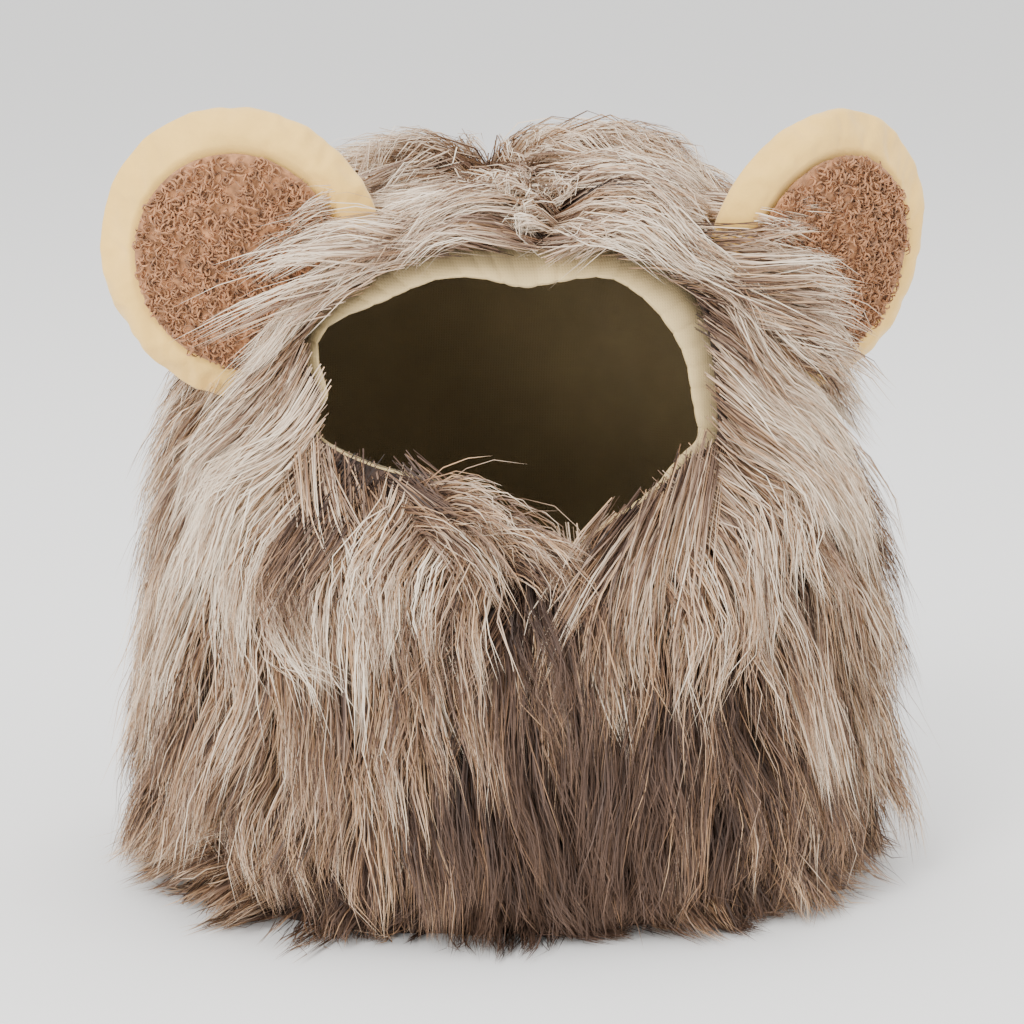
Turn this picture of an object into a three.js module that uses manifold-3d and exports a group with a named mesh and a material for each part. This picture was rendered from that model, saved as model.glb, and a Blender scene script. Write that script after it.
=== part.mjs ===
// A lion mane wig for a small pet: a hollow hood of long-pile fur with a face opening, a cloth
// lining, a gathered band round the opening, a throat tab and two stuffed round ears.
// Millimetres, +Z up. The wig stands on its hem at z = 0 and its face looks along -Y.
// Left and right are as seen by someone who faces the wig, so left is -X.
import * as THREE from "three";
import { mergeVertices } from "three/addons/utils/BufferGeometryUtils.js";
import Module from "manifold-3d";

const wasm = await Module();
wasm.setup();

// The inner face of the fur's backing cloth, at the hem, and how high the hood stands.
const HOOD_HALF_WIDTH = 77;
const HOOD_FRONT = 63;
const HOOD_BACK = 69;
const HOOD_HEIGHT = 171;
const HOOD_SQUARENESS = 2.3; // 2 is an ellipse, and more is squarer

// Cloth and fur thicknesses, and the gap kept between pieces that touch.
const CLEARANCE = 0.3;
const LINING_WALL = 1.2;
const BACKING_WALL = 3;
const PILE_DEPTH = 15;
const BAND_THICKNESS = 2.4;
const BAND_TUCK = 5; // how far the band lies hidden behind the fur's backing
const BAND_DEPTH = 0.45; // and it ends this share of the front's depth before the middle
const BAND_SHOW = 6;
const TAB_THICKNESS = 1.5;
const TAB_WIDTH = 34;
const TAB_HEIGHT = 22;
const TAB_DROP = 26; // from the throat down to the tab
const SLIT_WIDTH = 1;

// The ears: a round stuffed disc with a pile patch set in its front.
const EAR_HALF_HEIGHT = 38;
const EAR_HALF_WIDTH = 35;
const EAR_THICKNESS = 18;
const EAR_RIM = 8.5; // width of plain cloth left round the patch
const PATCH_THICKNESS = 3;
const PATCH_BULGE = 1; // how far the patch's middle stands out of the ear
const EAR_FORWARD = 12; // degrees round the hood that each ear sits ahead of its side
const EAR_NOD = 12; // degrees that each ear's top leans forward
const LEFT_EAR_STANDOFF = 19; // from the backing's inner face out to an ear's middle
const RIGHT_EAR_STANDOFF = 22;

// Locks of fur.
const LOCK_WIDTH = 29;
const LOCK_THICKNESS = 8;
const LOCK_LIFT = 5; // how far a lock stands off the pile at its highest
const LOCK_FULLNESS = [0.7, 1, 0.8, 0.5]; // a lock's width and thickness at each step down it
const LOCK_STEPS = LOCK_FULLNESS.length;
const LOCK_SIDES = 4; // an edge, the ridge, the other edge and the underside
const LOCK_FLOOR = 1; // no lock hangs lower than this above the hem
const MAP_STEP = 0.01; // the small step that finds the flow's pace
const LEAST_PACE = 30; // millimetres that the whole map spans where it is most crowded

// How finely the curved walls are faceted.
const HOOD_COLUMNS = 32;
const EAR_COLUMNS = 24;
const OUTLINE_STEPS = 40;
const SLIVER = 0.15; // features thinner than this, left by a cut, are merged away

// The hood from its crown down to its hem. Height is a share of the hood's height, and width,
// front and back are shares of its half width and its two half depths. Pile is a share of the
// pile's depth.
const SECTIONS = [
  { height: 1.0, width: 0.0, front: 0.0, back: 0.0, pile: 0.9 },
  { height: 0.992, width: 0.26, front: 0.42, back: 0.26, pile: 0.9 },
  { height: 0.968, width: 0.48, front: 0.72, back: 0.46, pile: 0.9 },
  { height: 0.915, width: 0.65, front: 0.87, back: 0.63, pile: 0.85 },
  { height: 0.835, width: 0.77, front: 0.94, back: 0.75, pile: 0.85 },
  { height: 0.735, width: 0.85, front: 0.96, back: 0.84, pile: 0.95 },
  { height: 0.61, width: 0.91, front: 0.98, back: 0.9, pile: 1.05 },
  { height: 0.47, width: 0.945, front: 0.99, back: 0.94, pile: 1.15 },
  { height: 0.32, width: 0.965, front: 1.0, back: 0.97, pile: 1.2 },
  { height: 0.16, width: 0.985, front: 1.0, back: 0.99, pile: 1.2 },
  { height: 0.06, width: 0.995, front: 1.0, back: 1.0, pile: 1.0 },
  { height: 0.0, width: 1.0, front: 1.0, back: 1.0, pile: 0.4 },
];

// The face opening, as someone facing the wig sees it, anticlockwise from the throat where the
// two front flaps meet. Across is a share of the hood's half width and up is a share of its
// height. Show is how much of the gathered band shows inside the fur's edge, in band widths.
const THROAT = { across: 0.03, up: 0.55, show: 0 };
const OPENING = [
  THROAT,
  { across: 0.23, up: 0.595, show: 0 },
  { across: 0.42, up: 0.655, show: 0.1 },
  { across: 0.56, up: 0.74, show: 0.7 },
  { across: 0.52, up: 0.87, show: 0.8 },
  { across: 0.33, up: 0.945, show: 0.6 },
  { across: -0.06, up: 0.968, show: 1.1 },
  { across: -0.45, up: 0.94, show: 0.6 },
  { across: -0.68, up: 0.87, show: 0.7 },
  { across: -0.69, up: 0.76, show: 0.3 },
  { across: -0.55, up: 0.665, show: 0 },
  { across: -0.3, up: 0.635, show: 0 },
  { across: -0.1, up: 0.585, show: 0 },
];
const OPENING_MIDDLE = 0.78; // its middle, up the hood
const PILE_FADE = 24; // the pile thins towards the opening's edge over this distance
const EDGE_PILE = 0.3; // share of the pile left at the edge

// The seam from ear to ear over the crown, as a share of the hood's half depth at the back.
const SIDE_SEAM = 0.02;

// How each ear is sewn on: its side, where it sits down the hood, how far its middle stands off
// the backing's inner face and how many degrees its front turns outward.
const EARS = {
  left: { side: -1, down: 0.315, standoff: LEFT_EAR_STANDOFF, yaw: 16 },
  right: { side: 1, down: 0.335, standoff: RIGHT_EAR_STANDOFF, yaw: 29 },
};

// Rows of locks from the crown down. Down runs from 0 at the crown to 1 at the hem, length is
// a share of the hood's height and size is a share of a full lock.
const LOCK_ROWS = [
  { down: 0.12, locks: 5, length: 0.22, size: 0.75 },
  { down: 0.28, locks: 8, length: 0.25, size: 0.85 },
  { down: 0.43, locks: 11, length: 0.28, size: 0.95 },
  { down: 0.57, locks: 13, length: 0.3, size: 1.0 },
  { down: 0.71, locks: 15, length: 0.3, size: 1.1 },
  { down: 0.84, locks: 17, length: 0.25, size: 1.1 },
];
const WHORL_DOWN = 0.3; // the point at the back of the crown from which the fur grows away

// A repeatable sequence of numbers from 0 to 1.
function sequence(seed) {
  let state = seed;
  return () => {
    state = (state * 1664525 + 1013904223) % 4294967296;
    return state / 4294967296;
  };
}

// One column of the sections at any place down the hood, smooth between its rows.
function sectionShare(column, down) {
  const last = SECTIONS.length - 1;
  const place = THREE.MathUtils.clamp(down, 0, 1) * last;
  const row = Math.min(Math.floor(place), last - 1);
  const at = (i) => SECTIONS[THREE.MathUtils.clamp(i, 0, last)][column];
  const rise = at(row + 1) - at(row);
  const slopeIn = (at(row + 1) - at(row - 1)) / 2;
  const slopeOut = (at(row + 2) - at(row)) / 2;
  const f = place - row;
  const cubic = slopeIn + slopeOut - 2 * rise;
  return at(row) + f * (slopeIn + f * (3 * rise - 2 * slopeIn - slopeOut + f * cubic));
}

// A point on the hood, outset from the inner face of the fur's backing.
function hoodPoint(angle, down, outset) {
  const power = 2 / HOOD_SQUARENESS;
  const [cosine, sine] = [Math.cos(angle), Math.sin(angle)];
  const side = Math.sign(cosine) * Math.abs(cosine) ** power;
  const ahead = Math.sign(sine) * Math.abs(sine) ** power;
  const [depth, column] = sine < 0 ? [HOOD_FRONT, "front"] : [HOOD_BACK, "back"];
  return new THREE.Vector3(
    side * (HOOD_HALF_WIDTH + outset) * sectionShare("width", down),
    ahead * (depth + outset) * sectionShare(column, down),
    (HOOD_HEIGHT + outset) * sectionShare("height", down),
  );
}

// The direction straight out of the hood at a place on it.
function hoodNormal(angle, down) {
  const nudge = 0.01;
  const across = hoodPoint(angle + nudge, down, 0).sub(hoodPoint(angle - nudge, down, 0));
  const along = hoodPoint(angle, down + nudge, 0).sub(hoodPoint(angle, down - nudge, 0));
  return along.cross(across).normalize();
}

// A closed mesh as a solid that can be joined and cut.
function solid(geometry) {
  const bare = new THREE.BufferGeometry();
  bare.setAttribute("position", geometry.getAttribute("position"));
  if (geometry.index) bare.setIndex(geometry.index);
  const merged = mergeVertices(bare, 1e-4);
  return new wasm.Manifold(
    new wasm.Mesh({
      numProp: 3,
      vertProperties: merged.attributes.position.array,
      triVerts: new Uint32Array(merged.index.array),
    }),
  );
}

function meshSolid(points, triangles) {
  const geometry = new THREE.BufferGeometry().setFromPoints(points);
  geometry.setIndex(triangles);
  return solid(geometry);
}

function boxSolid(low, high) {
  const size = high.clone().sub(low);
  const geometry = new THREE.BoxGeometry(size.x, size.y, size.z);
  geometry.translate(...low.clone().add(high).multiplyScalar(0.5).toArray());
  return solid(geometry);
}

// The wall between two outsets of the hood, each given by angle and down. The hem is a flat
// ring between them.
function hoodWall(innerOutset, outerOutset, columns = HOOD_COLUMNS) {
  const rows = SECTIONS.length - 1;
  const points = [];
  const triangles = [];
  const skin = (outset) => {
    const apex = points.length;
    points.push(hoodPoint(0, 0, outset(0, 0)));
    for (let row = 1; row <= rows; row++)
      for (let column = 0; column < columns; column++) {
        const angle = (2 * Math.PI * column) / columns;
        points.push(hoodPoint(angle, row / rows, outset(angle, row / rows)));
      }
    return (row, column) => (row ? apex + 1 + (row - 1) * columns + (column % columns) : apex);
  };
  const quad = (a, b, c, d) => triangles.push(a, b, c, a, c, d);
  const outer = skin(outerOutset);
  const inner = skin(innerOutset);
  for (let column = 0; column < columns; column++) {
    const next = column + 1;
    triangles.push(outer(0, 0), outer(1, column), outer(1, next));
    triangles.push(inner(0, 0), inner(1, next), inner(1, column));
    for (let row = 1; row < rows; row++) {
      quad(outer(row, column), outer(row + 1, column), outer(row + 1, next), outer(row, next));
      quad(inner(row, column), inner(row, next), inner(row + 1, next), inner(row + 1, column));
    }
    quad(outer(rows, column), inner(rows, column), inner(rows, next), outer(rows, next));
  }
  return meshSolid(points, triangles);
}

// Everything inside one outset of the hood.
function hoodCore(outset) {
  return hoodWall(() => -HOOD_FRONT / 2, () => outset).add(
    hoodWall(() => -HOOD_FRONT + 1, () => -HOOD_FRONT / 2 + 1),
  );
}

// The opening's outline in the X-Z plane, moved outward by grow, or inward by as much of the
// band as shows.
function openingOutline(grow, show) {
  const middle = new THREE.Vector3(0, 0, OPENING_MIDDLE * HOOD_HEIGHT);
  const corners = OPENING.map((p) => {
    const corner = new THREE.Vector3(p.across * HOOD_HALF_WIDTH, 0, p.up * HOOD_HEIGHT);
    const outward = corner.clone().sub(middle).normalize();
    return corner.addScaledVector(outward, grow - show * p.show);
  });
  const curve = new THREE.CatmullRomCurve3(corners, true, "centripetal");
  return curve.getPoints(OUTLINE_STEPS).slice(0, OUTLINE_STEPS);
}

// A straight prism with the opening's outline, from in front of the wig back to a depth.
function openingPrism(grow, show, depth) {
  const outline = openingOutline(grow, show);
  const shape = new THREE.Shape(outline.map((p) => new THREE.Vector2(p.x, p.z)));
  const geometry = new THREE.ExtrudeGeometry(shape, { depth: FAR - depth, bevelEnabled: false });
  geometry.rotateX(Math.PI / 2);
  geometry.translate(0, -depth, 0);
  return solid(geometry);
}

const FAR = 2 * (HOOD_BACK + PILE_DEPTH + LOCK_WIDTH);
const EDGE = openingOutline(0, 0);
const SLIT_ACROSS = THROAT.across * HOOD_HALF_WIDTH;
const THROAT_UP = THROAT.up * HOOD_HEIGHT;

// How far a place on the front of the hood lies outside the opening, negative inside it.
function distanceFromOpening(point) {
  if (point.y > 0) return Infinity;
  const spot = new THREE.Vector3(point.x, 0, point.z);
  const closest = new THREE.Vector3();
  let nearest = Infinity;
  let inside = false;
  for (let i = 0; i < EDGE.length; i++) {
    const [a, b] = [EDGE[i], EDGE[(i + 1) % EDGE.length]];
    new THREE.Line3(a, b).closestPointToPoint(spot, true, closest);
    nearest = Math.min(nearest, closest.distanceTo(spot));
    const crosses = a.z > spot.z !== b.z > spot.z;
    if (crosses && spot.x < a.x + ((spot.z - a.z) * (b.x - a.x)) / (b.z - a.z)) inside = !inside;
  }
  return inside ? -nearest : nearest;
}

// The pile's outer face, thinner towards the face opening's edge and at the hem.
function pileOutset(angle, down) {
  const away = distanceFromOpening(hoodPoint(angle, down, 0));
  const share = THREE.MathUtils.lerp(EDGE_PILE, 1, THREE.MathUtils.smoothstep(away, 0, PILE_FADE));
  return BACKING_WALL + PILE_DEPTH * sectionShare("pile", down) * share;
}

// Which way the fur lies, on a map whose middle is the crown and whose rim is the hem: away
// from the whorl above, sideways over the brow, in towards the throat on the cheeks, and
// straight down lower on the wig.
function furFlow(spot, point) {
  const fromWhorl = spot.clone().sub(new THREE.Vector2(0, WHORL_DOWN)).normalize();
  const straightDown = spot.clone().normalize();
  const { smoothstep } = THREE.MathUtils;
  const flow = fromWhorl.lerp(straightDown, smoothstep(spot.length(), 0.45, 0.8));
  if (point.y > 0) return flow.normalize();
  const side = Math.sign(point.x - SLIT_ACROSS);
  const brow = 1 - smoothstep(spot.length(), 0.35, 0.5);
  const cheek = smoothstep(spot.length(), 0.4, 0.55) - smoothstep(spot.length(), 0.65, 0.85);
  flow.x += side * (1.5 * brow - 0.6 * cheek * smoothstep(-spot.y, 0.2, 0.4));
  return flow.normalize();
}

// The middle line of a lock from its root to its tip, a step at a time along the flow, or null
// where it would hang into the face opening.
function lockLine(angle, down, length, size, sway) {
  const spot = new THREE.Vector2(Math.cos(angle), Math.sin(angle)).multiplyScalar(down);
  const line = [];
  for (let step = 0; step <= LOCK_STEPS; step++) {
    const share = step / LOCK_STEPS;
    const place = [spot.angle(), Math.min(spot.length(), 1)];
    const outset = pileOutset(...place) + LOCK_LIFT * size * (Math.sin(Math.PI * share) - 0.3);
    const point = hoodPoint(...place, outset);
    if (distanceFromOpening(point) < 0) return null;
    const flow = furFlow(spot, point).rotateAround(new THREE.Vector2(), sway * share);
    point.z = Math.max(point.z, LOCK_FLOOR + (1 - share) * LOCK_THICKNESS);
    line.push({ point, normal: hoodNormal(...place) });
    const ahead = spot.clone().addScaledVector(flow, MAP_STEP);
    const pace = hoodPoint(ahead.angle(), Math.min(ahead.length(), 1), outset).distanceTo(
      hoodPoint(...place, outset),
    );
    spot.addScaledVector(flow, (MAP_STEP * length) / LOCK_STEPS / Math.max(pace, MAP_STEP * LEAST_PACE));
  }
  return line;
}

// One lock of fur: a body with a ridge, widest below its root and tapering to a point.
function lockSolid(line, size) {
  const points = [];
  const triangles = [];
  for (let step = 0; step < LOCK_STEPS; step++) {
    const { point, normal } = line[step];
    const along = line[step + 1].point.clone().sub(point).normalize();
    const side = along.clone().cross(normal).normalize();
    const fullness = size * LOCK_FULLNESS[step];
    const ring = [
      point.clone().addScaledVector(side, (fullness * LOCK_WIDTH) / 2),
      point.clone().addScaledVector(normal, (fullness * LOCK_THICKNESS) / 2),
      point.clone().addScaledVector(side, (-fullness * LOCK_WIDTH) / 2),
      point.clone().addScaledVector(normal, -fullness * LOCK_THICKNESS),
    ];
    points.push(...ring);
  }
  const tip = points.length;
  points.push(line[LOCK_STEPS].point);
  const last = tip - LOCK_SIDES;
  for (let i = 0; i < LOCK_SIDES; i++) {
    const j = (i + 1) % LOCK_SIDES;
    for (let low = 0; low < last; low += LOCK_SIDES) {
      const high = low + LOCK_SIDES;
      triangles.push(low + i, high + i, high + j, low + i, high + j, low + j);
    }
    triangles.push(last + i, tip, last + j);
  }
  triangles.push(0, 1, 2, 0, 2, 3);
  for (const point of points) point.z = Math.max(point.z, LOCK_FLOOR);
  return meshSolid(points, triangles);
}

// Every lock on the hood, row by row.
function locks() {
  const chance = sequence(7);
  const made = [];
  LOCK_ROWS.forEach((row, index) => {
    for (let i = 0; i < row.locks; i++) {
      const turn = i + 0.5 * (index % 2) + 0.3 * (chance() - 0.5);
      const angle = (2 * Math.PI * turn) / row.locks;
      const down = row.down + 0.03 * (chance() - 0.5);
      const length = HOOD_HEIGHT * row.length * (0.9 + 0.25 * chance());
      const sway = 0.5 * (chance() - 0.5);
      const line = lockLine(angle, down, length, row.size, sway);
      if (line) made.push(lockSolid(line, row.size));
    }
  });
  return made;
}

// The gap between the two front flaps, from the throat down through the hem.
function slit() {
  return boxSolid(
    new THREE.Vector3(SLIT_ACROSS - SLIT_WIDTH / 2, -FAR, -FAR),
    new THREE.Vector3(SLIT_ACROSS + SLIT_WIDTH / 2, 0, THROAT_UP + BAND_TUCK + CLEARANCE),
  );
}

// The quarter of space that one fur panel keeps to: front or back of the seam through the
// ears, and left or right of the middle, with half the clearance on each side of a seam.
function panelRegion(front, left) {
  const seam = SIDE_SEAM * HOOD_BACK;
  const middle = front ? SLIT_ACROSS : 0;
  const gap = CLEARANCE / 2;
  return boxSolid(
    new THREE.Vector3(left ? -FAR : middle + gap, front ? -FAR : seam + gap, -FAR),
    new THREE.Vector3(left ? middle - gap : FAR, front ? seam - gap : FAR, FAR),
  );
}

// A round body from half a section, given outward from the middle of its front, placed as an
// ear is: its front turned out by the yaw and down by the nod.
function earSolid(profile, seat) {
  const section = profile.map(([radius, height]) => new THREE.Vector2(radius, height));
  const geometry = new THREE.LatheGeometry(section.reverse(), EAR_COLUMNS);
  geometry.rotateZ(Math.PI);
  geometry.scale(EAR_HALF_WIDTH / EAR_HALF_HEIGHT, 1, 1);
  geometry.rotateX(THREE.MathUtils.degToRad(EAR_NOD));
  geometry.rotateZ(seat.side * THREE.MathUtils.degToRad(seat.yaw));
  const forward = THREE.MathUtils.degToRad(EAR_FORWARD);
  const angle = seat.side < 0 ? Math.PI + forward : -forward;
  const middle = hoodPoint(angle, seat.down, 0);
  middle.addScaledVector(hoodNormal(angle, seat.down), seat.standoff);
  geometry.translate(...middle.toArray());
  return solid(geometry);
}

// A stuffed ear: a dish for the patch, the cloth rim round it and a domed back.
function ear(seat) {
  const [rim, half, dish] = [EAR_HALF_HEIGHT, EAR_THICKNESS / 2, EAR_HALF_HEIGHT - EAR_RIM];
  return earSolid(
    [
      [0, half - PATCH_THICKNESS],
      [dish, half - PATCH_THICKNESS],
      [dish + 0.08 * EAR_RIM, half],
      [dish + 0.45 * EAR_RIM, 0.94 * half],
      [rim - 0.12 * EAR_RIM, 0.45 * half],
      [rim, 0],
      [0.93 * rim, -0.5 * half],
      [0.72 * rim, -0.86 * half],
      [0.4 * rim, -half],
      [0, -half],
    ],
    seat,
  );
}

// The room that the fur leaves for an ear.
function earRoom(seat) {
  const rim = EAR_HALF_HEIGHT + CLEARANCE;
  const half = EAR_THICKNESS / 2 + CLEARANCE;
  return earSolid(
    [
      [0, half + PATCH_BULGE],
      [0.9 * rim, half + PATCH_BULGE],
      [rim, 0.5 * half],
      [rim, -0.5 * half],
      [0.8 * rim, -half],
      [0, -half],
    ],
    seat,
  );
}

// The pile patch in an ear's dish, clear of the dish all round.
function earPatch(seat) {
  const radius = EAR_HALF_HEIGHT - EAR_RIM - CLEARANCE;
  const half = EAR_THICKNESS / 2;
  return earSolid(
    [
      [0, half + PATCH_BULGE],
      [0.6 * radius, half + 0.6 * PATCH_BULGE],
      [0.92 * radius, half],
      [radius, half - 0.8],
      [radius, half - PATCH_THICKNESS + CLEARANCE],
      [0, half - PATCH_THICKNESS + CLEARANCE],
    ],
    seat,
  );
}

// A cut can leave a crumb or a pocket behind, so a piece keeps its largest body alone.
function tidy(made) {
  const bodies = made.simplify(SLIVER).decompose();
  return bodies.reduce((a, b) => (a.volume() > b.volume() ? a : b));
}

// A named mesh from a solid.
function piece(name, made, look) {
  const { numProp, numVert, vertProperties, triVerts } = tidy(made).getMesh();
  const position = new Float32Array(numVert * 3);
  for (let i = 0; i < numVert; i++)
    position.set(vertProperties.subarray(i * numProp, i * numProp + 3), i * 3);
  const geometry = new THREE.BufferGeometry();
  geometry.setAttribute("position", new THREE.BufferAttribute(position, 3));
  geometry.setIndex(new THREE.BufferAttribute(triVerts, 1));
  geometry.computeVertexNormals();
  const mesh = new THREE.Mesh(geometry, look);
  mesh.name = name;
  return mesh;
}

const FUR = new THREE.MeshStandardMaterial({ color: 0xa08a76, roughness: 0.95, metalness: 0 });
const CLOTH = new THREE.MeshStandardMaterial({ color: 0xd9bf86, roughness: 0.9, metalness: 0 });
const BOUCLE = new THREE.MeshStandardMaterial({ color: 0xa5714f, roughness: 1, metalness: 0 });
const TAPE = new THREE.MeshStandardMaterial({ color: 0xcdbb94, roughness: 0.85, metalness: 0 });

const backing = hoodCore(BACKING_WALL);
const clearOfBacking = hoodCore(BACKING_WALL + CLEARANCE);
const bandDepth = BAND_DEPTH * HOOD_FRONT;

// The whole fur coat, before it is parted into its panels.
const coat = locks()
  .reduce((all, one) => all.add(one), hoodWall(() => 0, pileOutset))
  .subtract(hoodCore(0))
  .subtract(earRoom(EARS.left).subtract(backing))
  .subtract(earRoom(EARS.right).subtract(backing))
  .subtract(openingPrism(0, 0, 0))
  .subtract(slit());

const liningOut = -CLEARANCE;
const liningIn = liningOut - LINING_WALL;
const lining = hoodWall(() => liningIn, () => liningOut)
  .subtract(openingPrism(BAND_TUCK + CLEARANCE, 0, bandDepth - CLEARANCE))
  .subtract(slit());

const band = hoodWall(() => liningOut - BAND_THICKNESS, () => liningOut)
  .intersect(openingPrism(BAND_TUCK, 0, bandDepth))
  .subtract(openingPrism(0, BAND_SHOW, 0))
  .subtract(slit());

const tabOut = liningIn - CLEARANCE;
const tab = hoodWall(() => tabOut - TAB_THICKNESS, () => tabOut).intersect(
  boxSolid(
    new THREE.Vector3(SLIT_ACROSS - TAB_WIDTH / 2, -FAR, THROAT_UP - TAB_DROP - TAB_HEIGHT),
    new THREE.Vector3(SLIT_ACROSS + TAB_WIDTH / 2, 0, THROAT_UP - TAB_DROP),
  ),
);

const wig = new THREE.Group();
wig.name = "lion_mane_wig";
wig.add(
  piece("fur_front_left", coat.intersect(panelRegion(true, true)), FUR),
  piece("fur_front_right", coat.intersect(panelRegion(true, false)), FUR),
  piece("fur_back_left", coat.intersect(panelRegion(false, true)), FUR),
  piece("fur_back_right", coat.intersect(panelRegion(false, false)), FUR),
  piece("lining", lining, CLOTH),
  piece("face_band", band, CLOTH),
  piece("throat_tab", tab, TAPE),
  piece("ear_left", ear(EARS.left).subtract(clearOfBacking), CLOTH),
  piece("ear_right", ear(EARS.right).subtract(clearOfBacking), CLOTH),
  piece("ear_patch_left", earPatch(EARS.left).subtract(clearOfBacking), BOUCLE),
  piece("ear_patch_right", earPatch(EARS.right).subtract(clearOfBacking), BOUCLE),
);

// The origin is the middle of the box round the wig, on the surface that its hem stands on.
const box = new THREE.Box3().setFromObject(wig);
const middle = box.getCenter(new THREE.Vector3());
wig.position.set(-middle.x, -middle.y, -box.min.z);

export default wig;
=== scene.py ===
"""Dresses a pet's lion mane wig: long pile fur, a lining, a gathered band and stuffed ears."""

import math
from types import SimpleNamespace

import bmesh
import bpy
import numpy as np
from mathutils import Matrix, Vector


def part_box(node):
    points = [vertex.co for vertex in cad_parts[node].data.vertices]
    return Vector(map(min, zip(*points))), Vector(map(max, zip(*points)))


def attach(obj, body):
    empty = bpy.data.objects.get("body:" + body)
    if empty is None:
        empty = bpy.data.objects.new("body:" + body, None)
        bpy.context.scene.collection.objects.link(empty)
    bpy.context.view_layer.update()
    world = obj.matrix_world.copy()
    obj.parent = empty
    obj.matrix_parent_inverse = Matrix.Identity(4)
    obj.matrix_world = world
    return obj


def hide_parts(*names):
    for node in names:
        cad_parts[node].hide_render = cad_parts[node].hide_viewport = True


bl_info = {
    "name": "Pet lion mane wig",
    "version": (1, 0, 0),
    "blender": (4, 5, 0),
    "location": "3D View > Sidebar > Mane",
    "description": "Builds the fur, cloth and stuffed ears of a pet's lion mane wig on its frame",
    "category": "Object",
}

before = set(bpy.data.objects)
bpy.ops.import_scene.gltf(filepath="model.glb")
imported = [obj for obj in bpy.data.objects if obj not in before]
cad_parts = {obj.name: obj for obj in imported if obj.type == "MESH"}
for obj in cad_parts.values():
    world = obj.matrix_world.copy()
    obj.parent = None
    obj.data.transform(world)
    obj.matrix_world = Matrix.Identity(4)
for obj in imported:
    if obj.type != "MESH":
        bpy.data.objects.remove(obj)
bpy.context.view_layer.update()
MM = 0.001

# The hood from its crown to its hem: shares of its height, half width, front and back depth, and
# of the pile's depth. The face opening goes round from the throat: shares of the half width
# across and the height up, and how much of the band shows there.
SECTION_NAMES = ("height", "width", "front", "back", "pile")
SECTIONS = (
    (1.0, 0.0, 0.0, 0.0, 0.9),
    (0.992, 0.26, 0.42, 0.26, 0.9),
    (0.968, 0.48, 0.72, 0.46, 0.9),
    (0.915, 0.65, 0.87, 0.63, 0.85),
    (0.835, 0.77, 0.94, 0.75, 0.85),
    (0.735, 0.85, 0.96, 0.84, 0.95),
    (0.61, 0.91, 0.98, 0.9, 1.05),
    (0.47, 0.945, 0.99, 0.94, 1.15),
    (0.32, 0.965, 1.0, 0.97, 1.2),
    (0.16, 0.985, 1.0, 0.99, 1.2),
    (0.06, 0.995, 1.0, 1.0, 1.0),
    (0.0, 1.0, 1.0, 1.0, 0.4),
)
OPENING = (
    (0.03, 0.55, 0.0),
    (0.23, 0.595, 0.0),
    (0.42, 0.655, 0.1),
    (0.56, 0.74, 0.7),
    (0.52, 0.87, 0.8),
    (0.33, 0.945, 0.6),
    (-0.06, 0.968, 1.1),
    (-0.45, 0.94, 0.6),
    (-0.68, 0.87, 0.7),
    (-0.69, 0.76, 0.3),
    (-0.55, 0.665, 0.0),
    (-0.3, 0.635, 0.0),
    (-0.1, 0.585, 0.0),
)
OPENING_MIDDLE = 0.78
HOOD_SQUARENESS = 2.3
SIDE_SEAM = 0.02
CLEARANCE = 0.3 * MM
BACKING_WALL = 3 * MM
PILE_DEPTH = 15 * MM
PILE_FADE = 24 * MM
EDGE_PILE = 0.3
SLIT_WIDTH = 1 * MM
NUDGE = 0.01  # a small step on the hood or its map, to measure slopes over


def measure_hood():
    """The hood's middle, half widths and height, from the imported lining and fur."""
    low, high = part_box("lining")
    seam = (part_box("fur_front_left")[1].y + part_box("fur_back_left")[0].y) / 2
    back = (high.y + CLEARANCE - seam) / (1 - SIDE_SEAM)
    middle = seam - SIDE_SEAM * back
    return SimpleNamespace(
        x=(low.x + high.x) / 2,
        y=middle,
        half_width=(high.x - low.x) / 2 + CLEARANCE,
        front=middle - low.y + CLEARANCE,
        back=back,
        height=high.z + CLEARANCE,
        seam=seam,
    )


HOOD = measure_hood()
SLIT_X = HOOD.x + OPENING[0][0] * HOOD.half_width
THROAT_Z = OPENING[0][1] * HOOD.height


def smoothstep(value, start, end):
    t = np.clip((value - start) / (end - start), 0, 1)
    return t * t * (3 - 2 * t)


def unit(vectors):
    return vectors / np.maximum(np.linalg.norm(vectors, axis=-1, keepdims=True), 1e-9)


def section_share(name, down):
    """One column of the sections at any place down the hood, smooth between its rows."""
    column = np.array([row[SECTION_NAMES.index(name)] for row in SECTIONS])
    last = len(column) - 1
    place = np.clip(down, 0, 1) * last
    row = np.minimum(place.astype(int), last - 1)
    before, here = column[np.maximum(row - 1, 0)], column[row]
    after, beyond = column[row + 1], column[np.minimum(row + 2, last)]
    rise, slope_in, slope_out = after - here, (after - before) / 2, (beyond - here) / 2
    f = place - row
    cubic = slope_in + slope_out - 2 * rise
    return here + f * (slope_in + f * (3 * rise - 2 * slope_in - slope_out + f * cubic))


def hood_point(angle, down, outset):
    """Points on the hood, outset from the inner face of the fur's backing."""
    angle, down, outset = np.broadcast_arrays(
        np.asarray(angle, float), np.asarray(down, float), np.asarray(outset, float)
    )
    power = 2 / HOOD_SQUARENESS
    cosine, sine = np.cos(angle), np.sin(angle)
    side = np.sign(cosine) * np.abs(cosine) ** power
    ahead = np.sign(sine) * np.abs(sine) ** power
    front = (HOOD.front + outset) * section_share("front", down)
    back = (HOOD.back + outset) * section_share("back", down)
    return np.stack(
        [
            HOOD.x + side * (HOOD.half_width + outset) * section_share("width", down),
            HOOD.y + ahead * np.where(sine < 0, front, back),
            (HOOD.height + outset) * section_share("height", down),
        ],
        -1,
    )


def on_map(angle, down):
    """The place on the fur's map of a place on the hood."""
    return down[..., None] * np.stack([np.cos(angle), np.sin(angle)], -1)


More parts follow.
